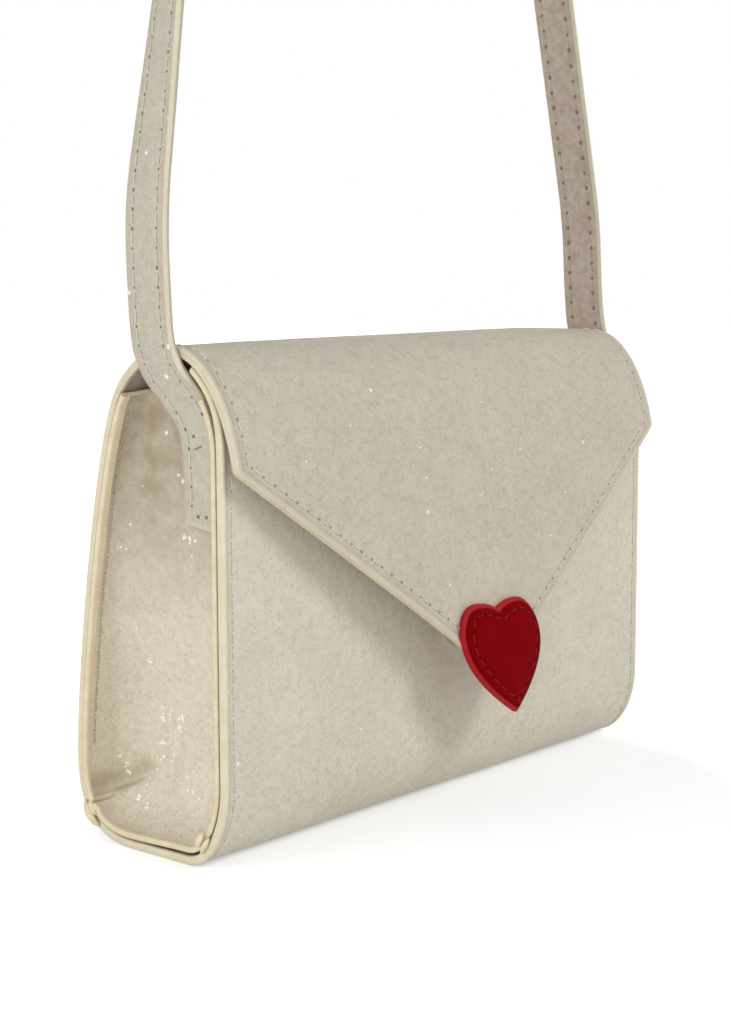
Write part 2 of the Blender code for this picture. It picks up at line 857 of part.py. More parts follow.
def main():
    clear_scene()
    materials = make_materials()
    body_shell = make_body(materials)
    front_board = make_boards(materials)
    make_gussets(materials)
    flap_lining, flap_board = make_flap(materials)
    make_heart(materials)
    make_socket(body_shell, front_board, materials)
    make_stud(flap_lining, flap_board, materials)
    make_strap_tabs(materials)
    make_strap(materials)


main()
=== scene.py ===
"""Looks of the envelope bag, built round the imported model.

One long glitter sheet with suede behind it and painted raw edges makes the front panel, the
base, the back and the flap. Soft gussets close its ends, a stitched strap is sewn to them and
a patent heart sits on the flap's tip. Lengths are in metres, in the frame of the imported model.
"""
import math
import random
from bisect import bisect
from itertools import pairwise

import bmesh
import bpy
from mathutils import Matrix, Vector, noise
from mathutils.bvhtree import BVHTree


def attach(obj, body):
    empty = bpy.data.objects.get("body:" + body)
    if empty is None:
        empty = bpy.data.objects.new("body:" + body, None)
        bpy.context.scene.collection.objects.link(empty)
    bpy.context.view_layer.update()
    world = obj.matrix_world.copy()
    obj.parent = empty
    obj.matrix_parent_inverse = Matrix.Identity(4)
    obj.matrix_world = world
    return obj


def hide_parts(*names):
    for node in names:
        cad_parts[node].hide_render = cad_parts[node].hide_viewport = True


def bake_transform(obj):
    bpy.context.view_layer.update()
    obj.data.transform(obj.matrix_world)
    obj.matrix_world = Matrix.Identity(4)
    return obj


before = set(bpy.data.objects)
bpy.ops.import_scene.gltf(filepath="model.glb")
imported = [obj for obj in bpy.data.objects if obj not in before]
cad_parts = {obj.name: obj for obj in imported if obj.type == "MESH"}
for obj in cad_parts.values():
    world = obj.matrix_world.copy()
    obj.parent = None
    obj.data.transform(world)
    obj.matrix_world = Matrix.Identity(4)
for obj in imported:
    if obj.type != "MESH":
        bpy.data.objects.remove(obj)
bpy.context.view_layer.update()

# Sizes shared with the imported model
half_length = 0.085
laminate = 0.0020
front_edge = (-0.0152, 0.1138)
fold = (0.0093, 0.1078)
ridge = (-0.009, 0.118)
flap_corner = (-0.0296, 0.091)
heart_seat = (-0.0362, 0.054)
flap_tip = (-0.0389, 0.0335)

# Pattern sizes of the long sheet
body_seam_inset = 0.0026
flap_seam_inset = 0.0031
channel_depth = 0.00009
channel_reach = 0.0007
body_overlap = 0.0009
flap_overlap = 0.0011
paint_build = 0.0001
top_corner_radius = 0.0014
flap_corner_radius = 0.0022
flap_corner_half = 0.0845
tip_radius = 0.006
row_step = 0.0016
panel_columns = 44
waver = 0.00011
waver_margin = 0.012
crown_inside = 0.3
curl_start = 0.010
curl_thinning = 0.60
# How dark the body's back is painted toward the fold: painted shade, so that the body's lighter painted
# copy of the glitter meets the flap's darker one.
back_shade = 0.29
sheet_pitch = 0.00389

# Gusset sizes
gusset_near = 0.00265
gusset_far = 0.0041
gusset_paint = (0.0005, 0.0017)
gusset_stitch = 0.0025
stitch_column = 3
rim_columns = 8
spine_base = 0.022
recess_top = 0.0055
recess_base = 0.0125
recess_heights = (0.020, 0.076)
floor_heights = (0.0055, 0.015)
front_heights = (0.060, 0.078)
paint_heights = (0.026, 0.066)
# Heights over which the gusset's top is painted darker: painted shade under the strap and the flap,
# mottled by a noise.
shade_heights = (0.045, 0.096)
hem_rise = 0.0034
crease_reach = 0.0057
crease_half = 0.0007
arc_steps = 8
face_steps = 12
flange_rows = 58
base_rows = 52

# Strap sizes
strap_seam_inset = 0.00215
strap_thickness = 0.0018
strap_overlap = 0.00018
strap_pitch = 0.00433

# Light
glow_near = 0.38
glow_far = 1.0
world_light = 0.38


def bezier(start, handle_a, handle_b, end, steps):
    """Points of a cubic curve after its start, in any number of dimensions."""
    points = []
    for i in range(1, steps + 1):
        t = i / steps
        weights = ((1 - t) ** 3, 3 * t * (1 - t) ** 2, 3 * t * t * (1 - t), t ** 3)
        rows = zip(start, handle_a, handle_b, end)
        points.append(tuple(sum(w * v for w, v in zip(weights, row)) for row in rows))
    return points


def clamp(value, low, high):
    return min(max(value, low), high)


def mixed(a, b, share):
    """The value a share of the way from one to another."""
    return a + share * (b - a)


def smooth_share(value, low, high):
    """How far a value lies from one to another, 0 to 1, with soft ends."""
    share = clamp((value - low) / (high - low), 0, 1)
    return share * share * (3 - 2 * share)


def bell(distance, width):
    """1 in the middle, falling softly to 0 on either side."""
    return math.exp(-(distance / width) ** 2)


def spline(points, steps):
    """A smooth curve through all the points, in any number of dimensions."""
    ends = [tuple(2 * a - b for a, b in zip(points[0], points[1]))]
    ends.append(tuple(2 * a - b for a, b in zip(points[-1], points[-2])))
    padded = [ends[0], *points, ends[1]]
    curve = [points[0]]
    for a, b, c, d in zip(padded[:-3], padded[1:-2], padded[2:-1], padded[3:]):
        handle_a = tuple(q + (r - p) / 6 for p, q, r in zip(a, b, c))
        handle_b = tuple(r - (s - q) / 6 for q, r, s in zip(b, c, d))
        curve += bezier(b, handle_a, handle_b, c, steps)
    return curve


def way_at(points, i):
    """The way of a path at one of its points."""
    return (points[min(i + 1, len(points) - 1)] - points[max(i - 1, 0)]).normalized()


# The long sheet in profile

# Curves of the outer face from the front's curled edge on: two handles, the end and the steps
profile_curves = (((-0.02015, 0.11060), (-0.0249, 0.10380), (-0.025, 0.094), 30),
                  ((-0.025, 0.07), (-0.025, 0.045), (-0.025, 0.020), 40),
                  ((-0.025, 0.009), (-0.01915, 0), (-0.012, 0), 26),
                  ((-0.006, 0), (0.000, 0), (0.006, 0), 12),
                  ((0.01493, 0), (0.025, 0.00304), (0.025, 0.019), 30),
                  ((0.025, 0.04031), (0.01605, 0.09803), fold, 50),
                  ((0.00637, 0.11219), (0.00052, 0.118), ridge, 24),
                  ((-0.01848, 0.118), (-0.0266, 0.1070), flap_corner, 36),
                  ((-0.0312, 0.0825), (-0.0346, 0.0658), heart_seat, 26),
                  ((-0.0371, 0.0472), (-0.0380, 0.0403), flap_tip, 12))


class Path:
    """Points with a way across the surface at each, and a place at each length along them."""

    def __init__(self, points, ways):
        self.points = points
        self.ways = ways
        self.lengths = [0.0]
        for a, b in pairwise(points):
            self.lengths.append(self.lengths[-1] + (b - a).length)

    def at(self, length):
        """The point at a length, and the way across the surface there."""
        k = clamp(bisect(self.lengths, length) - 1, 0, len(self.lengths) - 2)
        span = self.lengths[k + 1] - self.lengths[k]
        share = (length - self.lengths[k]) / span if span > 0 else 0
        across = self.ways[k].lerp(self.ways[k + 1], clamp(share, 0, 1)).normalized()
        return self.points[k].lerp(self.points[k + 1], share), across

    def heading(self, length):
        """The way along the path at a length."""
        near = 0.0003
        ahead, _ = self.at(min(length + near, self.lengths[-1]))
        behind, _ = self.at(max(length - near, 0))
        return (ahead - behind).normalized()


profile = [front_edge]
curve_ends = []
for *shape, steps in profile_curves:
    profile += bezier(profile[-1], *shape, steps)
    curve_ends.append(len(profile) - 1)
profile = [Vector(point) for point in profile]
headings = [(b - a).normalized() for a, b in pairwise(profile)]
inwards = [Vector((-way.y, way.x)) for way in headings]
inwards = [inwards[0], *((a + b).normalized() for a, b in pairwise(inwards)), inwards[-1]]
line = Path(profile, inwards)
curl_end, front_end, base_front, base_back, _, fold_at, _, corner_at, _, tip_at = (
    line.lengths[k] for k in curve_ends)

crown_shares = spline([(-1.0, 0.00018), (-0.7, 0.00056), (-0.35, 0.00082), (0.0, 0.00098),
                       (0.35, 0.00126), (0.6, 0.00128), (0.82, 0.00070), (1.0, 0.00010)], 6)


def place_on(x, length, depth):
    """The place at a length along the sheet and a depth under its outer face."""
    point, inward = line.at(length)
    return Vector((x, point.x + depth * inward.x, point.y + depth * inward.y))


def crown(x, length):
    """How far the sheet arches up over the fold."""
    along = (length - fold_at) / (corner_at - fold_at)
    share = smooth_share(along, 0, 0.34) * (1 - smooth_share(along, 0.42, 1.0))
    if share == 0:
        return 0
    place = clamp(x / half_length, -1, 1)
    for (xa, ya), (xb, yb) in pairwise(crown_shares):
        if xb >= place:
            return share * mixed(ya, yb, (place - xa) / (xb - xa))
    return share * crown_shares[-1][1]


def waved(x, length, depth):
    """A place on the long sheet, whose faces are never quite flat."""
    swell = noise.noise(Vector((x * 26, length * 30, 2.3)))
    swell += 0.5 * noise.noise(Vector((x * 70, length * 80, 7.1)))
    edge = clamp((half_length - abs(x)) / waver_margin, 0, 1)
    arch = crown(x, length) * mixed(1, crown_inside, clamp(depth / laminate, 0, 1))
    if length < curl_end:
        depth *= mixed(curl_thinning, 1, smooth_share(length, curl_start, curl_end))
    spot = place_on(x, length, depth + waver * swell * edge - arch)
    spot.z = max(spot.z, 0)
    return spot


# Outlines in the flat pattern, as points (x, length) of the right half

class Outline:
    """The right half of a pattern piece, as rows with their insets."""

    def __init__(self, corners, radii, corner_steps, first_edge=False, last_half=False):
        self.rows = []
        self.corners = [Vector(c) for c in corners]
        self.radii = radii
        self.ways = [(b - a).normalized() for a, b in pairwise(self.corners)]
        self.outs = [Vector((way.y, -way.x)) for way in self.ways]
        last = len(self.ways) - 1
        for i, way in enumerate(self.ways):
            start, end = self.corners[i], self.corners[i + 1]
            before = self.tangent(i) if i > 0 else 0
            after = self.tangent(i + 1) if i < last else 0
            run = (end - start).length
            count = max(int((run - before - after) / row_step), 1)
            if i > 0 or first_edge:
                for k in range(count + 1):
                    along = before + (run - before - after) * k / count
                    self.rows.append((start + along * way, self.outs[i], i, i))
            if i < last:
                halved = last_half and i + 1 == last
                self.arc(i + 1, corner_steps, halved)
                if halved:
                    return

    def tangent(self, i):
        """How far from a corner its arc begins."""
        turn = math.acos(clamp(self.outs[i - 1].dot(self.outs[i]), -1, 1)) / 2
        return self.radii[i] * math.tan(turn)

    def miter(self, i, inset):
        """The corner of the outline moved in by an inset."""
        a, b = self.outs[i - 1], self.outs[i]
        return self.corners[i] - inset * (a + b) / (1 + a.dot(b))

    def arc(self, i, count, half):
        """Rows round a corner, or round its first half."""
        centre = self.miter(i, self.radii[i])
        a, b = self.outs[i - 1], self.outs[i]
        last = count // 2 if half else count
        for k in range(0, last + 1):
            out = a.slerp(b, k / count) if a.dot(b) > -0.999 else a
            self.rows.append((centre + self.radii[i] * out, out, i - 1, i))

    def inset(self, row, depth):
        """The row's point moved in from the outline, held back by the nearest corners."""
        point, out, before, after = self.rows[row]
        if before != after and depth > self.radii[after]:
            return self.miter(after, depth)
        moved = point - depth * out
        if before == after:
            for i, sign in ((before, 1), (before + 1, -1)):
                if 0 < i < len(self.ways):
                    corner = self.miter(i, depth)
                    if sign * (moved - corner).dot(self.ways[before]) < 0:
                        moved = corner
        return moved


body_outline = Outline([(0, 0), (half_length, 0), (half_length, fold_at)], [0, top_corner_radius, 0], 6)
flap_outline = Outline(
    [(half_length, fold_at), (flap_corner_half, corner_at), (0, tip_at), (-flap_corner_half, corner_at)],
    [0, flap_corner_radius, tip_radius, 0], 10, first_edge=True, last_half=True)

# Beads of paint down a raw edge, as (inset, share of the thickness)
two_beads = ((-0.00006, 0.06), (-0.00020, 0.18), (-0.00022, 0.32), (-0.00012, 0.44), (-0.00004, 0.50),
             (-0.00012, 0.56), (-0.00022, 0.68), (-0.00020, 0.82), (-0.00006, 0.94))
one_bead = ((-0.00006, 0.08), (-0.00018, 0.20), (-0.00026, 0.36), (-0.00028, 0.52),
            (-0.00026, 0.68), (-0.00018, 0.82), (-0.00006, 0.93))


def edge_section(thickness, seam_inset, overlap, beads, shaded_from, over="thin"):
    """The way round a painted raw edge: (inset, depth, what lies between it and the next)."""
    section = [(seam_inset + channel_reach * step, channel_depth * share, "face")
               for step, share in ((1, 0), (0.5, 0.45), (0, 1), (-0.5, 0.45), (-1, 0))]
    section += [(overlap, 0, over), (overlap * 0.9, -paint_build * 0.8, over),
                (overlap * 0.45, -paint_build, over), (0.0001, -paint_build * 0.4, "paint")]
    # From the given share of the thickness on, the edge takes the darker olive paint: painted shade on
    # its inner part.
    for inset, share in beads:
        section.append((inset, share * thickness, "olive" if share >= shaded_from else "paint"))
    section += [(0.00012, thickness + paint_build * 0.4, "olive"),
                (overlap * 0.45, thickness + paint_build, "olive"),
                (overlap * 0.9, thickness + paint_build * 0.8, "olive"), (overlap, thickness, "back"),
                (seam_inset + channel_reach, thickness, "back")]
    return section


# Materials

def rgb(red, green, blue):
    """A colour written as in a picture, 0 to 255, turned into the linear values of a shader."""
    values = []
    for level in (red, green, blue):
        share = level / 255
        values.append(share / 12.92 if share <= 0.04045 else ((share + 0.055) / 1.055) ** 2.4)
    return (*values, 1.0)


class Nodes:
    """The node tree of a material or a world, with short ways to add to it."""

    def __init__(self, owner, shader="Principled BSDF"):
        self.owner = owner
        self.owner.use_nodes = True
        self.tree = self.owner.node_tree
        self.shader = self.tree.nodes[shader]
        self.spots = None

    def add(self, kind, inputs=None, **settings):
        """A new node with its settings and with numbers or links for its inputs."""
        node = self.tree.nodes.new(kind)
        for key, value in settings.items():
            setattr(node, key, value)
        self.feed(node, inputs or {})
        return node

    def feed(self, node, inputs):
        for key, value in inputs.items():
            if isinstance(value, bpy.types.NodeSocket):
                self.tree.links.new(value, node.inputs[key])
            else:
                node.inputs[key].default_value = value

    def place(self, stretch=None):
        """Where on the object a pattern is looked up, stretched if asked."""
        self.spots = self.spots or self.add("ShaderNodeTexCoord").outputs["Object"]
        if not stretch:
            return self.spots
        return self.add("ShaderNodeMapping", {"Scale": stretch, "Vector": self.spots}).outputs["Vector"]

    def noise(self, scale, detail, rough, stretch=None):
        inputs = {"Scale": scale, "Detail": detail, "Roughness": rough, "Vector": self.place(stretch)}
        return self.add("ShaderNodeTexNoise", inputs).outputs["Fac"]

    def cells(self, scale):
        """Cells of a size: the colours drawn for them, and the distance from their middles."""
        cells = self.add("ShaderNodeTexVoronoi", {"Scale": scale, "Vector": self.place()}).outputs
        draws = self.add("ShaderNodeSeparateColor", {"Color": cells["Color"]}).outputs
        return draws, cells["Distance"]

    def ramp(self, value, low, high, out_low=0.0, out_high=1.0):
        """A value taken smoothly from one span to another."""
        inputs = {"Value": value, "From Min": low, "From Max": high,
                  "To Min": out_low, "To Max": out_high}
        node = self.add("ShaderNodeMapRange", inputs, interpolation_type="SMOOTHSTEP")
        return node.outputs["Result"]

    def math(self, operation, a, b):
        return self.add("ShaderNodeMath", {0: a, 1: b}, operation=operation).outputs[0]

    def mix(self, share, a, b):
        node = self.add("ShaderNodeMix", {"Factor": share, "A": a, "B": b}, data_type="RGBA")
        return node.outputs["Result"]

    def attribute(self, name):
        return self.add("ShaderNodeAttribute", attribute_name=name).outputs["Fac"]

    def bump(self, height, strength, distance, under=None):
        inputs = {"Height": height, "Strength": strength, "Distance": distance}
        if under:
            inputs["Normal"] = under
        return self.add("ShaderNodeBump", inputs).outputs["Normal"]

    def seen_rays(self):
        """1 for rays that the camera sees at once, reflected or refracted, and 0 for light."""
        path = self.add("ShaderNodeLightPath").outputs
        seen = path["Is Camera Ray"]
        for word in ("Is Glossy Ray", "Is Transmission Ray"):
            seen = self.math("MAXIMUM", seen, path[word])
        return seen

    def finish(self, colour, roughness, normal=None, **values):
        inputs = {"Base Color": colour, "Roughness": roughness}
        if normal:
            inputs["Normal"] = normal
        inputs.update((key.replace("_", " "), value) for key, value in values.items())
        self.feed(self.shader, inputs)
        return self.owner


def material_nodes(name):
    return Nodes(bpy.data.materials.new(name))


def glitter_sheet(name, light_tone, sparkle):
    """Fine glitter bonded to cloth under a clear film: soft grey-beige grains, and a few flakes painted
    near white as their glints, a painted highlight.
    """
    n = material_nodes(name)

    def tint(red, green, blue):
        values = rgb(red, green, blue)
        return (*[value * share for value, share in zip(values, light_tone)], 1.0)

    cloud = n.noise(70, 4, 0.6)
    blotch = n.noise(330, 3, 0.55)
    crumb = n.noise(520, 3, 0.6)
    grain = n.noise(1400, 3, 0.6)
    base = n.mix(n.ramp(cloud, 0.34, 0.66), tint(199, 191, 173), tint(206, 198, 181))
    for pattern, low, high, out_low, out_high, colour in (
            (blotch, 0.42, 0.68, 0, 0.45, (189, 180, 161)),
            (crumb, 0.28, 0.52, 0.55, 0, (182, 172, 152)),
            (crumb, 0.52, 0.74, 0, 0.35, (217, 210, 195)),
            (grain, 0.40, 0.66, 0, 0.40, (216, 209, 194)),
            (grain, 0.30, 0.46, 0.35, 0, (178, 168, 149))):
        base = n.mix(n.ramp(pattern, low, high, out_low, out_high), base, tint(*colour))
    base = n.mix(n.math("MULTIPLY", n.attribute("rim"), 0.35), base, tint(184, 168, 146))
    # The shade attribute paints shade, mottled by a noise: on the gussets' tops and creases and on the
    # body's back toward the fold.
    uneven = n.ramp(n.noise(150, 5, 0.65), 0.32, 0.68, 0.72, 1.22)
    stain_and_shade = n.math("MULTIPLY", n.attribute("shade"), uneven)
    base = n.mix(stain_and_shade, base, tint(150, 137, 115))
    draws, distance = n.cells(1500)
    dark = n.math("MULTIPLY", n.ramp(draws[0], 0.93, 0.96), n.ramp(distance, 0.15, 0.45, 1, 0))
    base = n.mix(n.math("MULTIPLY", dark, 0.45), base, tint(146, 135, 117))
    # Painted highlights: a few cells are painted near white, with less roughness, as the glints of
    # flakes.
    chosen = n.math("GREATER_THAN", draws[0], 0.9992)
    flake = n.math("MULTIPLY", chosen, n.ramp(distance, 0.35, 0.5, 1, 0))
    fleck_draws, fleck_distance = n.cells(640)
    chosen = n.math("GREATER_THAN", fleck_draws[0], 1 - sparkle)
    fleck = n.math("MULTIPLY", chosen, n.ramp(fleck_distance, 0.25, 0.5, 1, 0))
    bright = n.math("MAXIMUM", flake, n.math("MULTIPLY", fleck, 0.9))
    colour = n.mix(bright, base, rgb(255, 253, 246))
    rough = n.math("SUBTRACT", n.ramp(grain, 0.3, 0.7, 0.50, 0.62), n.math("MULTIPLY", bright, 0.3))
    normal = n.bump(draws[1], 0.10, 0.0001, n.bump(grain, 0.22, 0.00012))
    return n.finish(colour, rough, normal, Coat_Weight=0.05, Coat_Roughness=0.35, Specular_IOR_Level=0.35)


def glint_flake_material():
    """One flake of glitter, painted near white as its glint: a painted highlight."""
    n = material_nodes("painted_glint_flake")
    cloud = n.noise(300, 2, 0.5)
    colour = n.mix(cloud, rgb(250, 249, 244), rgb(255, 255, 252))
    return n.finish(colour, n.ramp(cloud, 0.3, 0.7, 0.25, 0.35), Specular_IOR_Level=0.6)


def suede():
    """The backing: brushed fibres with a soft nap."""
    n = material_nodes("suede_backing")
    nap = n.noise(420, 5, 0.65)
    fibre = n.noise(2200, 3, 0.7, (1, 1, 0.35))
    colour = n.mix(n.ramp(nap, 0.3, 0.7), rgb(170, 153, 138), rgb(193, 178, 163))
    colour = n.mix(n.ramp(fibre, 0.5, 0.75, 0, 0.5), colour, rgb(205, 189, 176))
    return n.finish(colour, n.ramp(nap, 0.3, 0.7, 0.85, 0.97), n.bump(fibre, 0.5, 0.00025),
                    Sheen_Weight=0.25, Sheen_Roughness=0.5, Specular_IOR_Level=0.2)


def painted(name, low, high, scales, spread, rough, fine_bump, shine, stain_and_shade=None):
    """Thick acrylic paint: rounded, slightly uneven, with a soft shine."""
    n = material_nodes(name)
    flow, fine = n.noise(scales[0], 4, 0.6), n.noise(scales[1], 3, 0.6)
    colour = n.mix(n.ramp(flow, 0.5 - spread, 0.5 + spread), rgb(*low), rgb(*high))
    if stain_and_shade:
        colour = n.mix(n.ramp(fine, 0.55, 0.72, 0, 0.3), colour, rgb(*stain_and_shade))
    normal = n.bump(flow, 0.3, 0.0003, n.bump(fine, fine_bump, 0.0001))
    return n.finish(colour, n.ramp(fine, 0.3, 0.7, *rough), normal, Specular_IOR_Level=shine)


def edge_paint(name, warm, pale, stain_and_shade):
    """The paint on the raw edges of the sheets."""
    return painted(name, warm, pale, (240, 1900), 0.18, (0.42, 0.56), 0.15, 0.4, stain_and_shade)


def heart_patent():
    """Deep red patent leather: a lacquered face over a faint grain."""
    n = material_nodes("heart_patent_red")
    grain = n.noise(1100, 4, 0.6)
    cloud = n.noise(120, 3, 0.5)
    colour = n.mix(n.ramp(cloud, 0.3, 0.7), rgb(124, 1, 8), rgb(131, 2, 10))
    normal = n.bump(grain, 0.10, 0.0001, n.bump(cloud, 0.12, 0.0005))
    return n.finish(colour, n.ramp(grain, 0.3, 0.7, 0.45, 0.55), normal, Specular_IOR_Level=0.012)


def grained(name, low, high, grain, rough, bump, spread=0.2, **values):
    """A plain material whose colour, shine and surface follow one grain."""
    n = material_nodes(name)
    pattern = n.noise(*grain)
    colour = n.mix(n.ramp(pattern, 0.5 - spread, 0.5 + spread), rgb(*low), rgb(*high))
    return n.finish(colour, n.ramp(pattern, 0.3, 0.7, *rough), n.bump(pattern, *bump), **values)


def thread(name, low, high):
    """Twisted sewing thread."""
    return grained(name, low, high, (1500, 2, 0.5, (1, 1.6, 2.2)), (0.6, 0.8), (0.6, 0.0001), 0.15,
                   Specular_IOR_Level=0.05)


def metal(name, low, high, rough):
    """Brushed metal."""
    return grained(name, low, high, (900, 3, 0.6, (1, 6, 6)), rough, (0.15, 0.00005), Metallic=1.0)


# Lighter and darker copies of one glitter for the body, flap, gussets and strap: painted light and shade
# for how the light falls on each part.
glitter_body = glitter_sheet("glitter_sheet", (1.15, 1.165, 1.155), 0.0006)
glitter_flap = glitter_sheet("glitter_sheet_flap", (0.965, 0.963, 0.945), 0.0012)
glitter_gusset = glitter_sheet("glitter_sheet_gusset", (1.25, 1.245, 1.24), 0.0008)
glitter_strap = glitter_sheet("glitter_sheet_strap", (0.945, 0.96, 0.935), 0.016)
painted_glint_flake = glint_flake_material()
suede_face = suede()
paint = edge_paint("edge_paint", (226, 214, 183), (232, 222, 194), (206, 193, 160))
paint_warm = edge_paint("edge_paint_warm", (230, 213, 175), (238, 226, 194), (206, 193, 160))
paint_thin = edge_paint("edge_paint_thin", (205, 195, 172), (211, 202, 180), (200, 190, 168))
paint_flap = edge_paint("edge_paint_flap", (216, 205, 176), (224, 214, 188), (200, 190, 162))
# A darker olive copy of the edge paint for the inner part of each raw edge: painted shade.
paint_shaded_inner = edge_paint("edge_paint_olive", (186, 177, 153), (196, 187, 164), (176, 166, 142))
thread_pale = thread("thread_pale", (212, 205, 188), (232, 226, 212))
thread_sheet = thread("thread_sheet", (184, 174, 154), (198, 188, 168))
thread_dull = thread("thread_dull", (190, 174, 158), (202, 187, 171))
thread_brown = thread("thread_brown", (150, 118, 92), (178, 146, 118))
thread_red = thread("thread_red", (128, 26, 26), (158, 46, 42))
# Flat dark discs at the needle holes: painted shade in the holes.
hole_shade_soft = thread("needle_hole", (150, 139, 120), (168, 157, 138))
hole_shade_strap = thread("needle_hole_strap", (122, 109, 92), (142, 129, 110))
hole_shade_red = thread("needle_hole_red", (44, 2, 4), (56, 3, 6))
side_red = painted("heart_edge_red", (158, 16, 24), (176, 20, 29), (300, 2400), 0.2, (0.45, 0.6), 0.25,
                   0.18)
patent_red = heart_patent()
snap_metal = metal("snap_metal", (196, 190, 176), (222, 217, 204), (0.2, 0.34))
washer_steel = metal("washer_steel", (178, 178, 178), (198, 198, 198), (0.3, 0.45))
board_fibre = grained("stiffener_board", (160, 138, 108), (186, 165, 134), (500, 5, 0.7, (1, 3, 1)),
                      (0.8, 0.95), (0.4, 0.0002))


def sheet_looks(glitter, edge):
    """A sheet's materials, in the order of the kinds of face."""
    return [glitter, suede_face, edge, paint_shaded_inner, paint_thin]


# Meshes

def add_object(name, data):
    """A new object in the scene."""
    item = bpy.data.objects.new(name, data)
    bpy.context.scene.collection.objects.link(item)
    return item


def make_piece(name, mesh, materials, body=None, sharp=60):
    """Turn a bmesh into a smooth piece that rides on a body."""
    bmesh.ops.remove_doubles(mesh, verts=mesh.verts, dist=0.000004)
    bad = [f for f in mesh.faces if f.calc_area() < 1e-14]
    if bad:
        bmesh.ops.delete(mesh, geom=bad, context="FACES_ONLY")
    bmesh.ops.recalc_face_normals(mesh, faces=mesh.faces)
    for face in mesh.faces:
        face.smooth = True
    for edge in mesh.edges:
        if len(edge.link_faces) == 2 and edge.calc_face_angle(0) > math.radians(sharp):
            edge.smooth = False
    data = bpy.data.meshes.new(name)
    mesh.to_mesh(data)
    mesh.free()
    for material in materials:
        data.materials.append(material)
    item = add_object(name, data)
    if body:
        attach(item, body)
    return item


# The olive kind is painted shade on the inner part of the raw edges.
face_kinds = {"face": 0, "back": 1, "paint": 2, "olive": 3, "thin": 4}


def add_face(mesh, corners, kind):
    """A face of a kind through its different corners, if three or more are left."""
    unique = list(dict.fromkeys(corners))
    if len(unique) > 2:
        mesh.faces.new(unique).material_index = face_kinds[kind]


def add_strip(mesh, a, b, *kinds):
    """Faces between two rows of points, the last kind going on to their end."""
    for k in range(len(a) - 1):
        add_face(mesh, (a[k], a[k + 1], b[k + 1], b[k]), kinds[min(k, len(kinds) - 1)])


def band(mesh, a, b, kinds=(0,)):
    """Faces between two rings of points, with their materials going round."""
    count = len(a)
    for k in range(count):
        j = (k + 1) % count
        mesh.faces.new((a[k], a[j], b[j], b[k])).material_index = kinds[k % len(kinds)]


def cap(mesh, rings, kind=0):
    """A face at each end of a row of rings."""
    mesh.faces.new(list(reversed(rings[0]))).material_index = kind
    mesh.faces.new(rings[-1]).material_index = kind


def sheet_mesh(outline, section, capped):
    """Both faces and the painted edges of a bent sheet, row by row along it."""
    mesh = bmesh.new()
    rim = mesh.verts.layers.float.new("rim")
    shade = mesh.verts.layers.float.new("shade")
    # The body's back is painted darker toward the fold: painted shade.
    shaded = back_shade if capped == "start" else 0.0
    columns = panel_columns

    def vert(x, length, depth, inset):
        v = mesh.verts.new(waved(x, length, depth))
        v[shade] = shaded * smooth_share(length, base_back, fold_at)
        v[rim] = 1 - smooth_share(inset, 0.0010, 0.0028)
        return v

    def ring(row):
        right, left, loops = [], [], []
        for inset, depth, _ in section:
            point = outline.inset(row, inset)
            right.append(vert(point.x, point.y, depth, inset))
            left.append(vert(-point.x, point.y, depth, inset))
        for end, verts_a, verts_b, way in ((0, left, right, 1), (-1, right, left, -1)):
            inset, depth, _ = section[end]
            point = outline.inset(row, inset)
            inner = [vert(way * point.x * (2 * k / columns - 1), point.y, depth, 1)
                     for k in range(1, columns)]
            loops.append([verts_a[end], *inner, verts_b[end]])
        return loops, right, left

    rings = [ring(row) for row in range(len(outline.rows))]
    for (loops, right, left), (next_loops, next_right, next_left) in pairwise(rings):
        for loop, following, kind in zip(loops, next_loops, ("face", "back")):
            add_strip(mesh, loop, following, kind)
        for k, (_, _, kind) in enumerate(section[:-1]):
            add_face(mesh, (right[k], right[k + 1], next_right[k + 1], next_right[k]), kind)
            add_face(mesh, (left[k], next_left[k], next_left[k + 1], left[k + 1]), kind)
    (outer, inner), last_right, last_left = rings[-1 if capped == "start" else 0]
    if capped == "start":
        grid = []
        for inset, depth, _ in section:
            point = outline.inset(0, inset)
            grid.append([vert(point.x * (2 * k / columns - 1), point.y, depth, inset)
                         for k in range(columns + 1)])
        for a, b, (_, _, kind) in zip(grid[:-1], grid[1:], section):
            add_strip(mesh, a, b, kind)
    border = outer + last_right[1:-1] + inner + list(reversed(last_left[1:-1]))
    add_face(mesh, border, "back")
    return mesh


# Stitches

def tube(mesh, points, radii, sides, outs, flat=1.0, kind=0):
    """A closed tube with tapered ends."""
    rings = []
    for i, (point, radius) in enumerate(zip(points, radii)):
        way = way_at(points, i)
        out = (outs[i] - outs[i].dot(way) * way).normalized()
        side = way.cross(out)
        ring = []
        for k in range(sides):
            turn = 2 * math.pi * k / sides
            spoke = math.cos(turn) * side + flat * math.sin(turn) * out
            ring.append(mesh.verts.new(point + radius * spoke))
        rings.append(ring)
    for a, b in pairwise(rings):
        band(mesh, a, b, (kind,))
    cap(mesh, rings, kind)


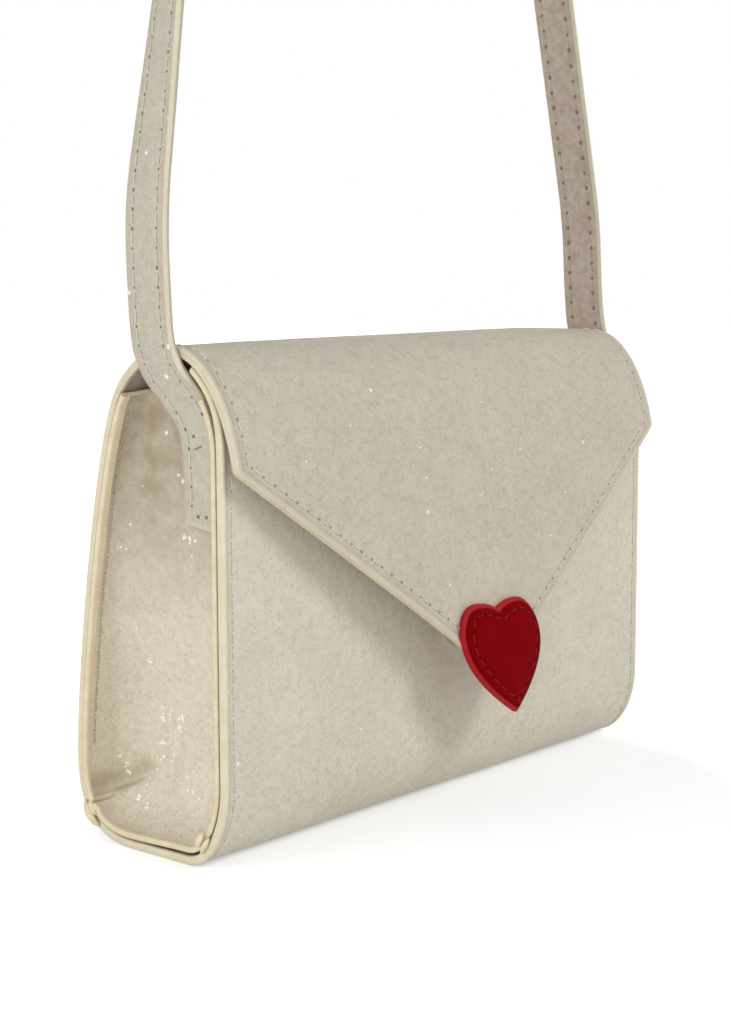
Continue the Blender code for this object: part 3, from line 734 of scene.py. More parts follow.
def add_stitches(mesh, seam, pitch, draw, radius, hole, gap=0.24, lift=0.00005):
    """Threads that dive into needle holes, at an even pitch with a hand's small unevenness. Each hole is
    a flat dark disc, painted shade in the hole.
    """
    end = seam.lengths[-1]
    slant, bow, dive = 0.00012, 0.00010, 0.00028
    for i in range(int(end / pitch)):
        middle = (i + 0.5) * pitch
        reach = pitch * (1 - gap) / 2 * draw.uniform(0.93, 1.04)
        turn = draw.uniform(-slant, slant)
        high = draw.uniform(0.8, 1.2)
        points, radii, outs = [], [], []
        for k in range(7):
            share = k / 6 * 2 - 1
            centre, out = seam.at(clamp(middle + share * reach, 0, end))
            side = seam.heading(middle + share * reach).cross(out)
            rise = lift + high * bow * (1 - share ** 4) - dive * share ** 8
            points.append(centre + turn * share * side + rise * out)
            radii.append(radius * (1 if abs(share) < 0.9 else 0.6))
            outs.append(out)
        tube(mesh, points, radii, 7, outs, 0.85)
        # A flat dark disc at the needle hole: painted shade in the hole.
        spot, out = seam.at(min(middle + pitch / 2, end))
        size = hole * draw.uniform(0.7, 1.15)
        way = seam.heading(middle + pitch / 2)
        points = [spot + size * s * way for s in (-1.05, -0.8, 0, 0.8, 1.05)]
        tube(mesh, points, [size * w for w in (0.3, 0.75, 1, 0.75, 0.3)], 8, [out] * 5, 0.16, 1)


def stitch_piece(name, seams, pitch, materials, slot, body, seed, **look):
    """A piece with the stitches of some seams."""
    mesh = bmesh.new()
    draw = random.Random(seed)
    for seam in seams:
        add_stitches(mesh, seam, pitch, draw, **look)
    for v in mesh.verts:
        v.co.z = max(v.co.z, 0.0)
    return make_piece(name, mesh, materials, body)


def outline_seam(outline, inset, side, start=0):
    """The seam line at an inset from a pattern's outline, on one side."""
    path, outs, last = [], [], None
    for row in range(start, len(outline.rows)):
        point = outline.inset(row, inset)
        spot = Vector((side * point.x, point.y))
        if last is not None and (spot - last).length < 0.00015:
            continue
        last = spot
        path.append(waved(spot.x, spot.y, channel_depth * 0.6))
        _, inward = line.at(spot.y)
        outs.append(Vector((0, -inward.x, -inward.y)))
    return Path(path, outs)


# Body and flap sheets

body_section = edge_section(laminate, body_seam_inset, body_overlap, one_bead, 0.93, "paint")
flap_section = edge_section(laminate, flap_seam_inset, flap_overlap, two_beads, 0.94)
panel = make_piece("body_sheet", sheet_mesh(body_outline, body_section, "start"),
                   sheet_looks(glitter_body, paint), "body")
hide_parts("body_shell", "body_lining")
flap = make_piece("flap_sheet", sheet_mesh(flap_outline, flap_section, "end"),
                  sheet_looks(glitter_flap, paint_flap))
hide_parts("flap_shell", "flap_lining")
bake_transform(flap)

body_seams = [outline_seam(body_outline, body_seam_inset, side, 8) for side in (-1, 1)]
stitch_piece("body_stitches", body_seams, sheet_pitch, [thread_pale, hole_shade_soft],
             "glitter_sheet", "body", 11, radius=0.00015, hole=0.00022)
flap_seams = [outline_seam(flap_outline, flap_seam_inset, side) for side in (-1, 1)]
flap_thread = stitch_piece("flap_stitches", flap_seams, sheet_pitch, [thread_pale, hole_shade_soft],
                           "glitter_sheet", None, 12, radius=0.00018, hole=0.00040)
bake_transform(flap_thread)


# Gussets: a soft tray pressed in between the raw edges

gusset_start = line.lengths[12]
gusset_end = fold_at + 0.0012
mitre_back = (Vector((0.0225, 0.0092)), Vector((0.0160, 0.0126)))
mitre_front = (Vector((-0.0170, 0.0095)), Vector((-0.0105, 0.0150)))
hollow = (Vector((0.0210, 0.0130)), Vector((0.0152, 0.0156)))
dimple = (Vector((0.0125, 0.0150)), Vector((0.0075, 0.0165)))
# The bead of a gusset's raw edge, as (share of the thickness, how far it stands out)
raw_bead = ((0.14, 0.00020), (0.34, 0.00034), (0.5, 0.00038), (0.66, 0.00034), (0.86, 0.00020))
# Clusters of loose flakes on the tray, painted near white as glints, in millimetres: (y, z, spread)
flake_spots = ((5.9, 31.0, 2.2), (8.3, 28.7, 0.8), (1.3, 29.8, 1.2), (1.9, 27.2, 1.0),
               (9.4, 22.8, 0.9), (7.9, 23.0, 0.8), (11.0, 18.9, 0.5), (8.9, 19.3, 0.5),
               (9.9, 18.2, 0.4), (6.6, 18.5, 0.7), (5.2, 20.2, 0.5), (12.0, 15.4, 0.4),
               (13.4, 13.2, 0.4), (13.3, 11.9, 0.4), (20.3, 18.2, 0.5), (19.1, 16.2, 0.8),
               (19.0, 14.0, 0.8), (-1.9, 17.5, 0.4), (0.3, 15.8, 0.3), (2.4, 14.0, 0.4),
               (-0.6, 12.9, 0.4), (-2.3, 12.8, 0.3), (-4.6, 11.6, 0.5), (13.5, 8.9, 0.8),
               (10.4, 7.8, 0.7), (12.8, 71.0, 1.1), (-7.0, 74.7, 0.8), (-8.9, 74.1, 0.8),
               (-10.5, 74.1, 0.5), (-9.2, 70.5, 0.5), (14.2, 87.6, 0.6), (6.3, 85.4, 0.3),
               (-5.4, 88.7, 0.5), (9.9, 42.7, 0.6), (-0.4, 49.5, 0.5))


def gusset_recess(height):
    """How deep the tray lies at a height."""
    return mixed(recess_base, recess_top, smooth_share(height, *recess_heights))


def length_at_height(low, high, height, falling):
    """The length along the sheet at which the gusset's flange has a height."""
    for _ in range(40):
        middle = (low + high) / 2
        above = place_on(0, middle, gusset_far).z > height
        if above == falling:
            low = middle
        else:
            high = middle
    return (low + high) / 2


front_corner, front_high, front_low = (length_at_height(front_end, base_front, height, True)
                                       for height in (0.0072, 0.0088, 0.0056))
back_corner, back_crease, back_high, back_low = (length_at_height(base_back, fold_at, height, False)
                                                 for height in (0.0078, 0.0094, 0.0104, 0.0062))


def distance_to(point, segment):
    """How far a point lies from a segment, and the share along it of the nearest place."""
    a, b = segment
    share = clamp((point - a).dot(b - a) / (b - a).length_squared, 0, 1)
    return (point - a - share * (b - a)).length, share


def crease_shade(point):
    """Painted shade: how dark the tray is painted along its mitre fold and in the hollow above it."""
    spot = Vector((point.y, point.z))
    gap, along = distance_to(spot, mitre_back)
    off, _ = distance_to(spot, hollow)
    return max(bell(gap, 0.0006) * (1 - 0.3 * along), 0.60 * bell(off, 0.0024))


def gusset_rows():
    """Rows of the gusset as (length, spine point, nearness to the hem)."""
    front_turn = length_at_height(curl_end, base_front, spine_base, True)
    back_turn = length_at_height(base_back, fold_at, spine_base, False)
    front, back = [], []
    for k in range(flange_rows + 1):
        share = k / flange_rows
        a = mixed(gusset_start, front_turn, share)
        b = mixed(gusset_end, back_turn, share)
        pa, pb = place_on(0, a, gusset_far), place_on(0, b, gusset_far)
        hem = 1 - smooth_share(share, 0, 0.14)
        spine = Vector(((pa.y + pb.y) / 2 * smooth_share(min(pa.z, pb.z), 0.01, 0.07),
                        (pa.z + pb.z) / 2 + hem_rise * hem))
        front.append((a, spine, hem))
        back.append((b, spine, hem))
    lengths = [mixed(front_turn, back_turn, k / base_rows) for k in range(1, base_rows)]
    for fine in (front_corner, back_crease):
        lengths = [length for length in lengths if abs(length - fine) > 0.0014]
        for way in (-1, 1):
            lengths += [fine + way * step for step in (0.00018, 0.00036, 0.0007, 0.0011, 0.0016)]
        lengths.append(fine)
    turns = [(length, front[-1][1], 0) for length in sorted(lengths)]
    return front + turns + list(reversed(back))


def flange_curve(straight, rise, reach):
    """The flange from its raw edge to the tray's floor, as (distance, sunk, inset)."""
    points = [(0.0, 0.0, 0.0), (straight, straight, 0.0)]
    for k in range(1, 41):
        turn = math.pi / 2 * k / 40
        sunk, inset = straight + rise * math.sin(turn), reach * (1 - math.cos(turn))
        distance, last_sunk, last_inset = points[-1]
        points.append((distance + math.hypot(sunk - last_sunk, inset - last_inset), sunk, inset))
    return points


def along_curve(points, distance):
    """How far sunk and how far in the flange is at a distance along its curve."""
    for a, b in pairwise(points):
        if b[0] >= distance:
            share = (distance - a[0]) / (b[0] - a[0])
            return mixed(a[1], b[1], share), mixed(a[2], b[2], share)
    return points[-1][1:]


def pinch_at(length):
    """How far the raw edge kinks inward near a bottom corner."""
    return 0.0010 * bell(length - front_corner, 0.0011) + 0.0007 * bell(length - back_corner, 0.0010)


def gusset_dent(spot, draw):
    """How far the tray's face sinks at a spot: soft waves, the mitre folds and a dimple."""
    dent = 0.00055 * noise.noise(Vector((spot.x * 60, spot.y * 42, 0)) + draw)
    dent += 0.0002 * noise.noise(Vector((spot.x * 190, spot.y * 150, 4)) + draw)
    for segment, depth, width in ((mitre_back, 0.0026, 0.0010), (mitre_front, 0.0011, 0.0012)):
        gap, along = distance_to(spot, segment)
        dent += depth * bell(gap, width) * (1 - 0.55 * along)
    gap, _ = distance_to(spot, dimple)
    return dent + 0.0012 * bell(gap, 0.0036)


def gusset_row(length, spine, hem, side, draw):
    """Points from the raw edge to the tray's middle, as (place, how far sunk, groove)."""
    base = place_on(0, length, gusset_far)
    y, z = base.y, base.z
    run = (spine - Vector((y, z))).length
    way = (spine - Vector((y, z))) / run
    recess = gusset_recess(z)
    bottom = 1 - smooth_share(z, *floor_heights)
    low_front = 1 - smooth_share(z, *front_heights)
    side_reach, side_rise = (mixed(0.0052, mixed(0.0010, low, low_front), 1 if y < 0 else 0)
                             for low in (0.0046, 0.0050))
    reach = min(mixed(side_reach, 0.0145, bottom), run * 0.92)
    rise = mixed(min(recess, side_rise), recess - 0.0008, bottom)
    curve = flange_curve(max(recess - rise, 0.0004), rise, reach)
    paint_width = mixed(*gusset_paint, smooth_share(z, *paint_heights))
    marks = [0, paint_width / 2, paint_width, gusset_stitch]
    marks += [mixed(gusset_stitch, curve[-1][0], k / arc_steps) for k in range(1, arc_steps + 1)]
    row = [along_curve(curve, distance) for distance in marks]
    row += [(recess, mixed(reach, run, k / face_steps)) for k in range(1, face_steps + 1)]
    edge_shift = mixed(-0.0004, 0.0007, smooth_share(y, -0.012, 0.008))
    groove_depth = 0.0011 * max(1 - abs(length - back_crease) / crease_half, 0)
    points = []
    for sunk, inset in row:
        spot = Vector((y, z)) + way * inset
        if inset > reach:
            sunk = mixed(sunk, gusset_recess(spot.y), smooth_share(inset, reach, min(reach + 0.006, run)))
        dent = gusset_dent(spot, draw) * smooth_share(sunk, 0.0004, 0.004)
        spot = spot + way * pinch_at(length) * (1 - smooth_share(sunk, 0.0008, 0.0050))
        spot.y += hem * 0.0006 * 4 * (inset / run) * (1 - inset / run)
        out = edge_shift * (1 - smooth_share(sunk, 0.0015, 0.0055))
        x = side * (half_length + out - sunk - dent)
        groove = groove_depth * (1 - smooth_share(sunk, crease_reach - 0.0012, crease_reach + 0.0004))
        if len(points) == stitch_column:
            groove = max(groove, 0.00022)
        points.append((Vector((x, spot.x, spot.y)), sunk, groove))
    return points


def grid_normal(grid, i, k, toward):
    """The way out of a grid of points at one of them, on the side of a given way."""
    before, after = grid[max(i - 1, 0)][k][0], grid[min(i + 1, len(grid) - 1)][k][0]
    low, high = grid[i][max(k - 1, 0)][0], grid[i][min(k + 1, len(grid[i]) - 1)][0]
    normal = (after - before).cross(high - low)
    if normal.length < 1e-10:
        normal = Vector((-toward.x, 0, 0))
    normal = normal.normalized()
    return -normal if normal.dot(toward) < 0 else normal


def gusset_piece(name, side, seed):
    """One gusset's skin, and the grid of points that its seam follows."""
    mesh = bmesh.new()
    rim = mesh.verts.layers.float.new("rim")
    shade = mesh.verts.layers.float.new("shade")
    rows = gusset_rows()
    draw = Vector((seed, 3.7, 1.9))
    grid = [gusset_row(*row, side, draw) for row in rows]
    last_column = len(grid[0]) - 1
    outer, inner = [], []
    for i, points in enumerate(grid):
        _, inward = line.at(rows[i][0])
        toward = Vector((side, inward.x, inward.y))
        outer.append([])
        inner.append([])
        for k, (point, sunk, groove) in enumerate(points):
            normal = Vector((side, 0, 0)) if k >= last_column - 1 else grid_normal(grid, i, k, toward)
            a = mesh.verts.new(point - groove * normal)
            a[rim] = 0.6 * (1 - smooth_share(sunk, 0.0016, 0.0034)) if k < rim_columns else 0
            # Painted shade: the gusset is painted darker towards its top, under the strap and the flap,
            # and along its mitre crease and the hollow above it.
            a[shade] = max(0.84 * smooth_share(point.z, *shade_heights), crease_shade(point))
            outer[-1].append(a)
            inner[-1].append(mesh.verts.new(point - (gusset_far - gusset_near) * normal))
    for sheet, kinds in ((outer, ("paint", "paint", "face")), (inner, ("back",))):
        for a, b in pairwise(sheet):
            add_strip(mesh, a, b, *kinds)
    # The painted raw edge is a rounded bead between the two skins
    beads = []
    for far, near in ((a[0], b[0]) for a, b in zip(outer, inner)):
        row = [far]
        for share, proud in raw_bead:
            row.append(mesh.verts.new(far.co.lerp(near.co, share) + Vector((side * proud, 0, 0))))
        beads.append([*row, near])
    for a, b in (*pairwise(beads), (outer[0], inner[0])):
        add_strip(mesh, a, b, "paint")
    add_face(mesh, beads[0], "paint")
    add_strip(mesh, outer[-1], inner[-1], "paint")
    add_face(mesh, beads[-1], "paint")
    looks = sheet_looks(glitter_gusset, paint_warm)
    return make_piece(name, mesh, looks, "body", 75), grid


def add_flakes(mesh, data, side, draw):
    """Loose flakes of glitter that lie on the tray's face, in small clusters, painted near white as their
    glints.
    """
    tree = BVHTree.FromPolygons([v.co for v in data.vertices], [p.vertices for p in data.polygons])
    for y, z, spread in flake_spots:
        for _ in range(1 + round(spread * 3.2)):
            around = draw.uniform(0, math.tau)
            off = spread * 0.001 * draw.uniform(0, 1) ** 0.6 if spread > 0.5 else 0
            spot = (side * 0.1, y * 0.001 + off * math.cos(around), z * 0.001 + off * math.sin(around))
            place, normal, _, _ = tree.ray_cast(Vector(spot), Vector((-side, 0, 0)))
            if place is None:
                continue
            normal = normal if normal.x * side > 0 else -normal
            tilt = Vector((draw.uniform(-0.2, 0.2), draw.uniform(-0.2, 0.2), draw.uniform(-0.2, 0.2)))
            normal = (normal + tilt).normalized()
            across = normal.cross(Vector((0, 0.3, 1))).normalized()
            up = normal.cross(across)
            size, spin = draw.uniform(0.00020, 0.00044), draw.uniform(0, 1)
            rings = []
            for lift in (-0.00006, 0.00007):
                ring = []
                for k in range(6):
                    turn = (k + spin) * math.tau / 6
                    reach = size * draw.uniform(0.85, 1.1)
                    spoke = math.cos(turn) * across + math.sin(turn) * up
                    ring.append(mesh.verts.new(place + lift * normal + reach * spoke))
                rings.append(ring)
            cap(mesh, rings)
            band(mesh, *rings)


loose_flakes = bmesh.new()
gusset_seams = []
for word, side, seed, flake_seed in (("left", -1, 1.0, 23), ("right", 1, 5.0, 29)):
    item, grid = gusset_piece(f"gusset_skin_{word}", side, seed)
    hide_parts(f"gusset_{word}", f"gusset_lining_{word}")
    add_flakes(loose_flakes, item.data, side, random.Random(flake_seed))
    path, outs = [], []
    for row, following in zip(grid[-flange_rows - 1:-1], grid[-flange_rows:]):
        before, spot, after = (point for point, _, _ in row[stitch_column - 1:stitch_column + 2])
        out = (after - before).cross(following[stitch_column][0] - spot).normalized()
        out = out if out.y < 0 else -out
        path.append(spot - 0.0001 * out)
        outs.append(out)
    gusset_seams.append(Path(path, outs))
make_piece("gusset_flakes", loose_flakes, [painted_glint_flake], "body", 30)
stitch_piece("gusset_stitches", gusset_seams, sheet_pitch, [thread_sheet, hole_shade_soft],
             "glitter_sheet", "body", 13, radius=0.00018, hole=0.00026)


# The painted ends of folded sheet that stand out at the gussets' bottom corners

def lobe(mesh, side, lengths, depths, stand, radius):
    """A soft lobe of paint lying on the raw edges, from one length and depth of the sheet to another."""
    points, radii = [], []
    shape = (0.30, 0.68, 0.92, 1.0, 1.0, 0.96, 0.86, 0.64, 0.28)
    for k, size in enumerate(shape):
        share = k / (len(shape) - 1)
        lift = stand * math.sin(math.pi * (0.15 + 0.7 * share))
        spot = place_on(0, mixed(*lengths, share), mixed(*depths, share))
        points.append(Vector((side * (half_length + lift), spot.y, spot.z)))
        radii.append(radius * size)
    tube(mesh, points, radii, 12, [Vector((side, 0, 0))] * len(points), 0.8)


lobe_mesh = bmesh.new()
for side in (-1, 1):
    lobe(lobe_mesh, side, (back_high, back_low), (0.0014, 0.0011), 0.0012, 0.00105)
    lobe(lobe_mesh, side, (back_high, mixed(back_high, back_low, 0.7)), (0.0030, 0.0024), 0.0009, 0.00065)
    lobe(lobe_mesh, side, (front_high, front_low), (0.0042, 0.0034), 0.0012, 0.00085)
    lobe(lobe_mesh, side, (front_high, front_low), (0.0022, 0.0018), 0.0010, 0.00065)
make_piece("gusset_corner_folds", lobe_mesh, [paint_warm], "body", 80)


# Strap: one strip of two layers from the sewn end on one gusset to the other

strap_half = [(0.0814, -0.0152, 0.0772), (0.0815, -0.0152, 0.0814), (0.0816, -0.0152, 0.0880),
              (0.0818, -0.0150, 0.0945), (0.0824, -0.0141, 0.1005), (0.0840, -0.0112, 0.1062),
              (0.0862, -0.0077, 0.1118), (0.0873, -0.0058, 0.1170), (0.0874, -0.0048, 0.1225),
              (0.0873, -0.0042, 0.1300), (0.08725, -0.0038, 0.1375)]


def strap_path():
    """Middle points of the strip's outer face from the right sewn end to the left one."""
    bend, loop = 0.110, 0.066
    lean, back = math.radians(11.2), math.tan(math.radians(2.0))
    start_x, start_y, start_z = strap_half[-1]
    points = list(strap_half)
    for i in range(1, 5):
        turn = lean * i / 4
        level = bend * math.sin(turn)
        points.append((start_x - bend * (1 - math.cos(turn)), start_y + level * back, start_z + level))
    bend_x, bend_y, bend_z = points[-1]
    loop_x = loop * math.cos(lean)
    loop_z = bend_z + (bend_x - loop_x) / math.tan(lean)
    centre_z = loop_z - loop * math.sin(lean)
    for share in (0.25, 0.5, 0.75):
        points.append((mixed(bend_x, loop_x, share), bend_y + (loop_z - bend_z) * share * back,
                       mixed(bend_z, loop_z, share)))
    for i in range(0, 10):
        turn = lean + (math.pi / 2 - lean) * i / 9
        level = centre_z + loop * math.sin(turn)
        points.append((loop * math.cos(turn), bend_y + (level - bend_z) * back, level))
    points += [(-x, y, z) for x, y, z in reversed(points[:-1])]
    return [Vector(p) for p in spline(points, 7)]


def strap_frames():
    """For each point of the strap: the point, the width's way, the outward way and half the width."""
    frames = []
    for i, point in enumerate(strap_line):
        way = way_at(strap_line, i)
        out = Vector((way.z, 0, -way.x)).normalized()
        out = (out - out.dot(way) * way).normalized()
        # The left leg turns a little as it rises
        rise = smooth_share(point.z, 0.145, 0.205) * (1 - smooth_share(point.z, 0.225, 0.300))
        turn = math.radians(17) * rise if point.x < 0 else 0
        across = out.cross(way).normalized()
        turned = (math.cos(turn) * out - math.sin(turn) * across).normalized()
        near_end = min(i, len(strap_line) - 1 - i)
        half = mixed(0.0057, 0.0060, smooth_share(near_end, 24, 44))
        frames.append((point, turned.cross(way).normalized(), turned, half))
    return frames


strap_line = strap_path()
strap_rows = strap_frames()


def strap_mesh():
    """The whole strip, with a painted edge on each side."""
    mesh = bmesh.new()
    rim = mesh.verts.layers.float.new("rim")
    section = edge_section(strap_thickness, strap_seam_inset, strap_overlap, one_bead, 0.5)
    rings = []
    for point, across, out, half in strap_rows:
        ring = []
        for sign, order in ((1, section), (-1, list(reversed(section)))):
            for inset, depth, _ in order:
                spot = point + sign * (half - inset) * across - depth * out
                if point.z < 0.0815:
                    spot.z += 0.14 * (spot.y - point.y) * (1 - smooth_share(point.z, 0.0775, 0.0812))
                v = mesh.verts.new(spot)
                v[rim] = 0.5 * (1 - smooth_share(inset, 0.0010, 0.0022))
                ring.append(v)
        rings.append(ring)
    kinds = [kind for _, _, kind in section[:-1]]
    kinds = [face_kinds[kind] for kind in (*kinds, "back", *reversed(kinds), "face")]
    end_kinds = [face_kinds["thin"] if kind == face_kinds["face"] else kind for kind in kinds]
    for i, (a, b) in enumerate(pairwise(rings)):
        band(mesh, a, b, end_kinds if min(i, len(rings) - 2 - i) < 2 else kinds)
    cap(mesh, rings, face_kinds["paint"])
    return mesh


strap = make_piece("strap_strip", strap_mesh(), sheet_looks(glitter_strap, paint_flap))
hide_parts("strap_outer", "strap_backing", "strap_tab_left", "strap_tab_right",
            "strap_tab_backing_left", "strap_tab_backing_right")
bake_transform(strap)


def strap_seams(face, margin):
    """The two rows of stitches on the strap's outer or inner face."""
    depth = channel_depth * 0.6 if face > 0 else strap_thickness
    rows = strap_rows[margin:len(strap_rows) - margin]
    seams = []
    for sign in (-1, 1):
        path = [point + sign * (half - strap_seam_inset) * across - depth * out
                for point, across, out, half in rows]
        seams.append(Path(path, [face * row[2] for row in rows]))
    return seams


def cross_seam(end, height, low, high, rise=0):
    """A short row of stitches across one of the strap's sewn ends."""
    middle = len(strap_rows) // 2
    rows = strap_rows[:middle] if end > 0 else strap_rows[middle:]
    point, across, out, _ = min(rows, key=lambda row: abs(row[0].z - height))
    way = across if across.y < 0 else -across
    base = point + Vector((0, 0, height - point.z)) - channel_depth * 0.4 * out
    steps = [k / 4 for k in range(5)]
    path = [base + mixed(low, high, step) * way + rise * step * Vector((0, 0, 1)) for step in steps]
    return Path(path, [out] * 5)


strap_threads = stitch_piece("strap_stitches", strap_seams(1, 4), strap_pitch, [thread_pale, hole_shade_strap],
                             "glitter_sheet", None, 14, radius=0.00018, hole=0.00036)
inner_threads = stitch_piece("strap_stitches_inner", strap_seams(-1, 45), strap_pitch,
                             [thread_dull, hole_shade_strap], "suede_backing", None, 18,
                             radius=0.00013, hole=0.00058)
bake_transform(inner_threads)
tab_seams = [cross_seam(end, height, 0.0037, -0.0037) for end in (-1, 1) for height in (0.0800, 0.0983)]
tab_threads = stitch_piece("tab_stitches", tab_seams, 0.0026, [thread_pale, hole_shade_strap],
                           "glitter_sheet", None, 16, radius=0.00020, hole=0.00056)
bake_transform(tab_threads)
brown_seams = [cross_seam(end, 0.0949, -0.0026, 0.0018, 0.0016) for end in (-1, 1)]
brown_threads = stitch_piece("tab_knots", brown_seams, 0.0044, [thread_brown, hole_shade_strap],
                             "glitter_sheet", None, 17, radius=0.00019, hole=0.00036)
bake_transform(brown_threads)
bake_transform(strap_threads)


# Heart tab

# Curves of the heart's right half from its notch to its tip, in shares of its size
heart_shares = (((0.0, 0.925), (0.10, 0.975), (0.30, 1.0), (0.52, 1.0)),
                ((0.52, 1.0), (0.79, 1.0), (1.0, 0.86), (1.0, 0.68)),
                ((1.0, 0.68), (1.0, 0.42), (0.52, 0.19), (0.07, 0.016)),
                ((0.07, 0.016), (0.04, 0.004), (0.02, 0.0), (0.0, 0.0)))
heart_width, heart_height, heart_overhang = 0.0320, 0.0288, 0.0095
heart_turn = math.radians(-0.9)
heart_shift = 0.00055
heart_shear = 0.159
heart_up = Vector((0, heart_seat[0] - flap_tip[0], heart_seat[1] - flap_tip[1])).normalized()
heart_inward = Vector((0, heart_up.z, -heart_up.y))
heart_origin = Vector((0, flap_tip[0], flap_tip[1])) - heart_overhang * heart_up


def heart_outline(inset):
    """Points of the heart in its own plane, moved in by an inset and kept clear of folds."""
    half = [heart_shares[0][0]]
    for curve in heart_shares:
        half += bezier(*curve, 18)
    right = [Vector((x * heart_width / 2, z * heart_height)) for x, z in half]
    points = right + [Vector((-p.x, p.y)) for p in reversed(right[1:-1])]
    moved = []
    for i, point in enumerate(points):
        way = points[(i + 1) % len(points)] - points[i - 1]
        point = point - inset * Vector((-way.y, way.x)).normalized()
        if inset:
            point.x = max(point.x, 0) if i < len(right) else min(point.x, 0)
        moved.append(point)
    return moved


def heart_place(point, height):
    """A point of the heart's plane, turned a little on the flap, at a height in front of it."""
    local = point - Vector((0, heart_height / 2))
    local.x -= heart_shear * local.y
    x = local.x * math.cos(heart_turn) - local.y * math.sin(heart_turn) + heart_shift
    z = local.x * math.sin(heart_turn) + local.y * math.cos(heart_turn) + heart_height / 2
    return heart_origin + Vector((x, 0, 0)) + z * heart_up - height * heart_inward


def heart_solid(levels):
    """A heart-shaped plate through (inset, height) levels, closed by a fan of rings on each face."""
    mesh = bmesh.new()
    rings = [[mesh.verts.new(heart_place(p, height)) for p in heart_outline(inset)]
             for inset, height in levels]
    for a, b in pairwise(rings):
        band(mesh, a, b)
    centre = Vector((0, heart_height * 0.56))
    for previous, (inset, height) in ((rings[0], levels[0]), (rings[-1], levels[-1])):
        outline = heart_outline(inset)
        for share in (0.72, 0.42, 0.16):
            inner = [mesh.verts.new(heart_place(centre.lerp(p, share), height)) for p in outline]
            band(mesh, previous, inner)
            previous = inner
        mesh.faces.new(previous)
    return mesh


base_levels = ((0.0012, 0.00015), (0.0004, 0.00022), (0.0001, 0.00045), (-0.00005, 0.0008),
               (0.0, 0.00120), (0.0003, 0.00152), (0.0010, 0.00167), (0.0022, 0.00170))
heart_base = make_piece("heart_body", heart_solid(base_levels), [side_red], "flap")
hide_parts("heart_base")
face_levels = ((0.0018, 0.00172), (0.0013, 0.00182), (0.0011, 0.00205), (0.00125, 0.00232),
               (0.0017, 0.00250), (0.0023, 0.00253), (0.0026, 0.00246), (0.0029, 0.00236),
               (0.0032, 0.00246), (0.0037, 0.00256))
heart_face = make_piece("heart_cover", heart_solid(face_levels), [patent_red], "flap")
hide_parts("heart_face")
heart_points = [heart_place(p, 0.00240) for p in heart_outline(0.0029)]
heart_points.append(heart_points[0])
heart_seam = Path(heart_points, [-heart_inward] * len(heart_points))
heart_pitch = heart_seam.lengths[-1] / round(heart_seam.lengths[-1] / 0.0036)
stitch_piece("heart_stitches", [heart_seam], heart_pitch, [thread_red, hole_shade_red],
             "heart_edge_red", "flap", 15, radius=0.00018, hole=0.00042, gap=0.30, lift=0.00006)


# Nodes that keep their own shape

carried = {board_fibre: ("front_board", "base_board", "back_board", "flap_board"),
           snap_metal: ("snap_socket", "snap_stud"),
           washer_steel: ("snap_socket_washer", "snap_stud_washer")}
for material, names in carried.items():
    for name in names:
        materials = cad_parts[name].data.materials
        materials.clear()
        materials.append(material)


# Studio

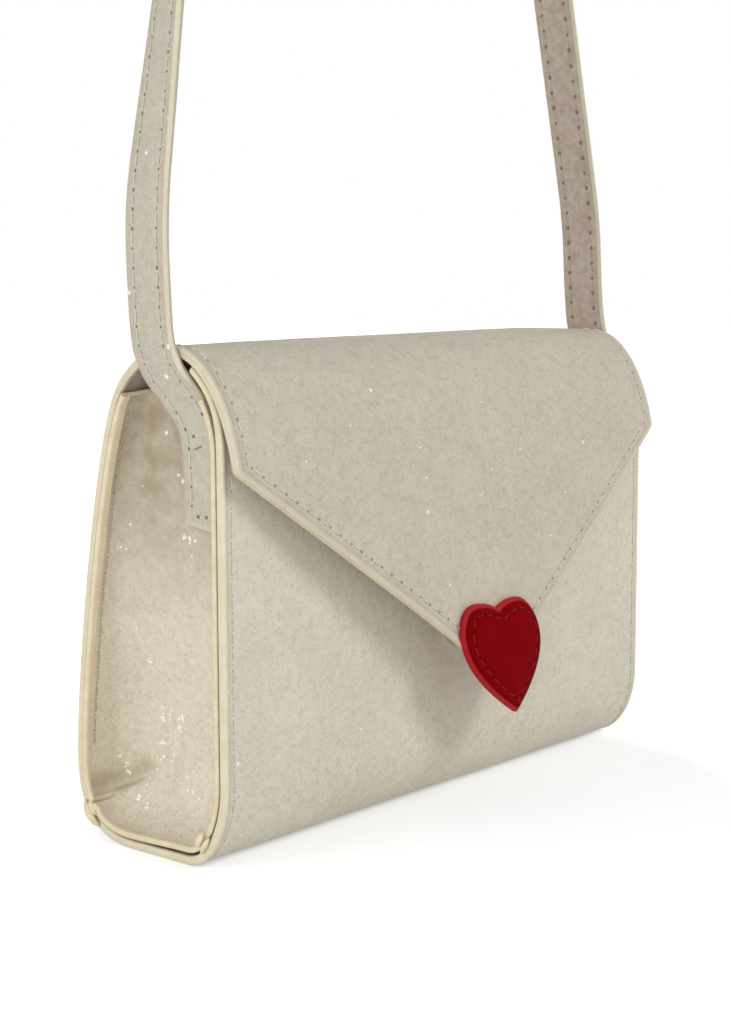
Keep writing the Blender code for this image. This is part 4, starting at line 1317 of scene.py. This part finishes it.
def make_floor():
    """A pale floor that glows white away from the bag and less round it, painted shade there, so that the
    bag's soft shadow shows.
    """
    mesh = bmesh.new()
    size = 4.0
    mesh.faces.new([mesh.verts.new((x * size, y * size, -0.0001))
                    for x, y in ((-1, -1), (1, -1), (1, 1), (-1, 1))])
    data = bpy.data.meshes.new("floor")
    mesh.to_mesh(data)
    mesh.free()
    n = material_nodes("floor_paper")
    fibre = n.noise(300, 3, 0.5)
    colour = n.mix(fibre, (0.835, 0.845, 0.865, 1), (0.855, 0.865, 0.885, 1))
    data.materials.append(n.finish(colour, 0.9, Specular_IOR_Level=0.0))
    # The glow is weaker round the bag, its middle set toward the front: painted shade there, which also
    # lets the cast shadow show.
    middle = {0: n.place(), 1: (-0.005, -0.02, 0)}
    reach = n.add("ShaderNodeVectorMath", middle, operation="DISTANCE").outputs["Value"]
    strength = n.math("MULTIPLY", n.seen_rays(), n.ramp(reach, 0.076, 0.108, glow_near, glow_far))
    glow = n.add("ShaderNodeEmission", {"Color": (1, 1, 1, 1), "Strength": strength})
    both = n.add("ShaderNodeAddShader", {0: n.shader.outputs[0], 1: glow.outputs[0]})
    n.feed(n.tree.nodes["Material Output"], {"Surface": both.outputs[0]})
    add_object("floor", data)


def make_world():
    """White where it is seen, and dimmer as a light."""
    world = bpy.data.worlds.new("studio")
    bpy.context.scene.world = world
    n = Nodes(world, "Background")
    strength = n.ramp(n.seen_rays(), 0, 1, world_light, 1.0)
    n.feed(n.shader, {"Color": (1, 1, 1, 1), "Strength": strength})


def area_light(name, place, target, size, energy):
    """A soft round lamp."""
    data = bpy.data.lights.new(name, "AREA")
    data.shape = "DISK"
    data.size = size
    data.energy = energy
    lamp = add_object(name, data)
    lamp.location = place
    lamp.rotation_euler = (target - place).to_track_quat("-Z", "Y").to_euler()


def make_camera():
    """The photograph's own view, from a pinhole camera fitted to the bag's outlines."""
    turn, pitch, roll = math.radians(49.69), math.radians(7.20), math.radians(-0.15)
    level = Vector((math.cos(turn), -math.sin(turn), 0))
    forward = Vector((math.sin(turn) * math.cos(pitch), math.cos(turn) * math.cos(pitch),
                      -math.sin(pitch)))
    upright = level.cross(forward)
    right = math.cos(roll) * level + math.sin(roll) * upright
    up = math.cos(roll) * upright - math.sin(roll) * level
    data = bpy.data.cameras.new("camera")
    data.lens = 65.3
    data.sensor_width = 36
    data.sensor_fit = "AUTO"
    data.clip_start = 0.01
    camera = add_object("camera", data)
    matrix = Matrix((right, up, -forward)).transposed().to_4x4()
    matrix.translation = Vector((-0.3723, -0.3096, 0.1332))
    camera.matrix_world = matrix
    bpy.context.scene.camera = camera
    return right, forward


make_floor()
make_world()
view_right, view_forward = make_camera()
light_target = Vector((0, -0.03, 0.06))
# Lamps as seen from the camera: to the right, up, towards it, size and power
lamps = (("key", 1.0, 0.80, 0.42, 0.5, 6.4), ("front", -0.15, -0.08, 1.15, 0.5, 4.0),
         ("fill", -0.9, 0.40, 0.6, 0.6, 3.2))
for name, rightward, upward, back, size, power in lamps:
    place = light_target + rightward * view_right + upward * Vector((0, 0, 1)) - back * view_forward
    area_light(name, place, light_target, size, power)
bpy.context.scene.view_settings.view_transform = "Standard"
